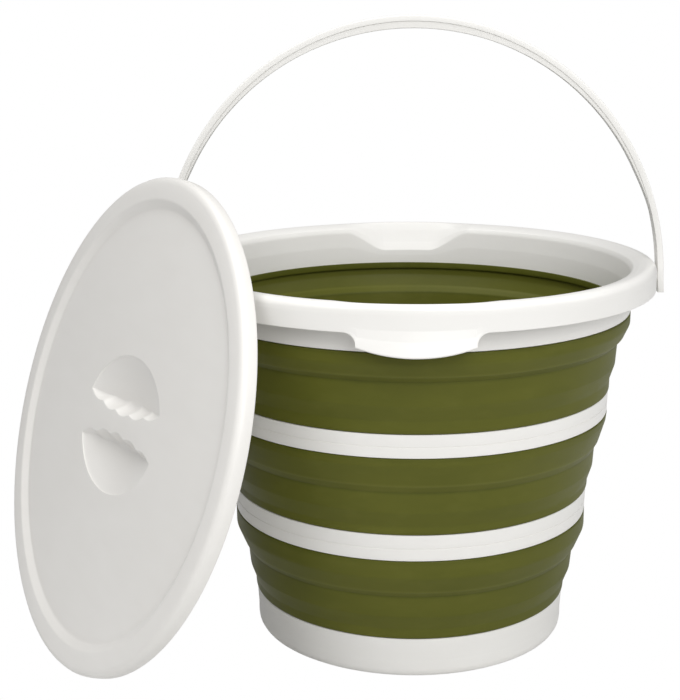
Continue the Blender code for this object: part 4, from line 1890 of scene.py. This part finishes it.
@dataclass(frozen=True)
class Studio:
    """Plain pale floor, soft lamps and the camera."""

    camera_place: Triple = (-0.0199, -0.9501, 0.4162)
    yaw: float = -0.02896
    pitch: float = 0.2351
    roll: float = -0.0046
    focal_pixels: float = 1450.0
    frame_pixels: float = 700.0
    sensor: float = 36.0
    clip_start: float = 0.05
    clip_end: float = 50.0
    floor_half: float = 6.0
    floor_colour: Colour = (0.76, 0.76, 0.76, 1.0)
    floor_roughness: float = 0.7
    mirrored_white: float = 0.35
    white: Colour = (1.0, 1.0, 1.0, 1.0)
    world_strength: float = 0.25
    lamps: tuple[Lamp, ...] = (
        Lamp("key_lamp", (0.35, -1.15, 0.85), size=0.8, power=8.4),
        Lamp("top_lamp", (-0.3, 0.0, 1.5), size=1.2, power=10.0),
        Lamp("side_lamp", (1.3, -0.2, 0.8), size=0.8, power=4.2),
        Lamp("lid_lamp", (-0.45, -0.7, 0.9), size=0.5, power=2.6),
    )

    def build(self) -> None:
        """Build the stage."""
        bpy.context.scene.view_settings.view_transform = "Standard"
        self._camera()
        self._floor()
        self._world()
        for lamp in self.lamps:
            lamp.hang()

    def _camera(self) -> None:
        """Set the camera at the photograph's angle."""
        data = bpy.data.cameras.new("camera")
        data.sensor_width = self.sensor
        data.lens = self.focal_pixels * self.sensor / self.frame_pixels
        data.clip_start = self.clip_start
        data.clip_end = self.clip_end
        camera = bpy.data.objects.new("camera", data)
        bpy.context.scene.collection.objects.link(camera)
        ahead = Vector((math.sin(self.yaw), math.cos(self.yaw), 0.0))
        forward = ahead * math.cos(self.pitch) - Vector((0.0, 0.0, math.sin(self.pitch)))
        right = Vector((math.cos(self.yaw), -math.sin(self.yaw), 0.0))
        up = right.cross(forward)
        turned_right = right * math.cos(self.roll) + up * math.sin(self.roll)
        turned_up = up * math.cos(self.roll) - right * math.sin(self.roll)
        placement = Matrix((turned_right, turned_up, -forward)).transposed().to_4x4()
        placement.translation = Vector(self.camera_place)
        camera.matrix_world = placement
        bpy.context.scene.camera = camera

    def _floor(self) -> None:
        """Lay the floor, plain white to the camera and partly white in its reflections."""
        skin = Skin()
        half = self.floor_half
        corners = [(-half, -half, 0.0), (half, -half, 0.0), (half, half, 0.0), (-half, half, 0.0)]
        skin.shape.faces.new(skin.row(corners))
        graph = Graph("pale_floor")
        graph.shader.inputs["Base Color"].default_value = self.floor_colour
        graph.shader.inputs["Roughness"].default_value = self.floor_roughness
        path = graph.node("ShaderNodeLightPath").outputs
        mirrored = Value(graph, path["Is Glossy Ray"]) + Value(graph, path["Is Transmission Ray"])
        seen = (mirrored * self.mirrored_white + Value(graph, path["Is Camera Ray"])).clamped()
        glow = graph.node("ShaderNodeEmission", {}, {"Color": self.white, "Strength": 1.0})
        inputs = {0: seen, 1: graph.shader.outputs[0], 2: glow.outputs[0]}
        mixer = graph.node("ShaderNodeMixShader", {}, inputs)
        output = graph.tree.nodes["Material Output"]
        graph.tree.links.new(mixer.outputs[0], output.inputs["Surface"])
        graph.material.cycles.emission_sampling = "NONE"
        floor = skin.finish("floor", graph.material)

    def _world(self) -> None:
        """Light the stage evenly, with white behind it."""
        world = bpy.data.worlds.new("studio")
        world.use_nodes = True
        bpy.context.scene.world = world
        tree = world.node_tree
        background = tree.nodes["Background"]
        background.inputs["Color"].default_value = self.white
        path = tree.nodes.new("ShaderNodeLightPath")
        scale = tree.nodes.new("ShaderNodeMath")
        scale.operation = "MULTIPLY_ADD"
        scale.inputs[1].default_value = 1.0 - self.world_strength
        scale.inputs[2].default_value = self.world_strength
        tree.links.new(path.outputs["Is Camera Ray"], scale.inputs[0])
        tree.links.new(scale.outputs[0], background.inputs["Strength"])


class Bucket:
    """The whole bucket, from the floor up."""

    LOWER_HOOP = (0.1187, 0.1194)
    UPPER_HOOP = (0.1313, 0.1316)
    BASE_COLLAR = 0.007
    BASE_COLLAR_RADIUS = 0.10508
    NECK_COLLAR = 0.0027

    def __init__(self, frame: dict[str, Any]) -> None:
        """Read the frame.

        Args:
            frame: what the frame's loader returned.
        """
        self.measure = Measure(frame)

    def _bands(self) -> list[Bellows]:
        """The three folding bands, each with its seats taken from its neighbours.

        Returns:
            The bands, from the lowest up.
        """
        measure = self.measure
        lower = self.LOWER_HOOP
        upper = self.UPPER_HOOP
        lower_middle = sum(lower) / 2
        upper_middle = sum(upper) / 2
        lower_span = measure.head("ring_lower") - measure.foot("ring_lower")
        upper_span = measure.head("ring_upper") - measure.foot("ring_upper")
        lower_collar = (lower_span - Bellows.gap) / 2
        upper_collar = (upper_span - Bellows.gap) / 2
        base = measure.reach("base_cup")
        return [
            Bellows(
                measure,
                "bellows_lower",
                ("base", "lower_hoop"),
                foot=measure.head("base_cup"),
                head=measure.foot("ring_lower"),
                foot_radii=(base, self.BASE_COLLAR_RADIUS),
                head_radii=(lower[0], lower_middle),
                foot_collar=self.BASE_COLLAR,
                head_collar=lower_collar,
                foot_wall=BaseCup.wall,
                head_wall=Hoop.wall,
                bend_heights=(0.119, 0.294, 0.538, 0.608, 0.8),
                bend_reaches=(0.04, 0.33, 0.43, 0.64, 1.0),
            ),
            Bellows(
                measure,
                "bellows_middle",
                ("lower_hoop", "upper_hoop"),
                foot=measure.head("ring_lower"),
                head=measure.foot("ring_upper"),
                foot_radii=(lower[1], lower_middle),
                head_radii=(upper[0], upper_middle),
                foot_collar=lower_collar,
                head_collar=upper_collar,
                foot_wall=Hoop.wall,
                head_wall=Hoop.wall,
                bend_heights=(0.106, 0.297, 0.544, 0.639, 0.895),
                bend_reaches=(0.01, 0.28, 0.35, 0.59, 0.95),
            ),
            Bellows(
                measure,
                "bellows_upper",
                ("upper_hoop", "rim"),
                foot=measure.head("ring_upper"),
                head=measure.foot("rim"),
                foot_radii=(upper[1], upper_middle),
                head_radii=(Rim.neck_radius, Rim.neck_radius),
                foot_collar=upper_collar,
                head_collar=self.NECK_COLLAR,
                foot_wall=Hoop.wall,
                head_wall=Rim.wall,
                bend_heights=(0.156, 0.346, 0.631, 0.707, 0.859),
                bend_reaches=(0.01, 0.27, 0.36, 0.69, 1.0),
            ),
        ]

    def parts(self) -> list[BaseCup | Hoop | Bellows | Rim | Bail | Lid]:
        """Size every sub-assembly.

        Returns:
            The sub-assemblies in the order they are built.
        """
        measure = self.measure
        return [
            BaseCup(measure),
            Hoop(measure, "ring_lower", "lower_hoop", *self.LOWER_HOOP),
            Hoop(measure, "ring_upper", "upper_hoop", *self.UPPER_HOOP),
            *self._bands(),
            Rim(measure),
            Bail(measure),
            Lid(measure),
        ]


def main() -> None:
    """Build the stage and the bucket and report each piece."""
    logging.basicConfig(level=logging.INFO, format="%(message)s")
    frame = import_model()
    Studio().build()
    finishes = Finishes.make()
    for part in Bucket(frame).parts():
        for piece in part.build(finishes):
            LOG.info("%s: %d faces", piece.name, len(piece.data.polygons))


if __name__ == "__main__":
    main()
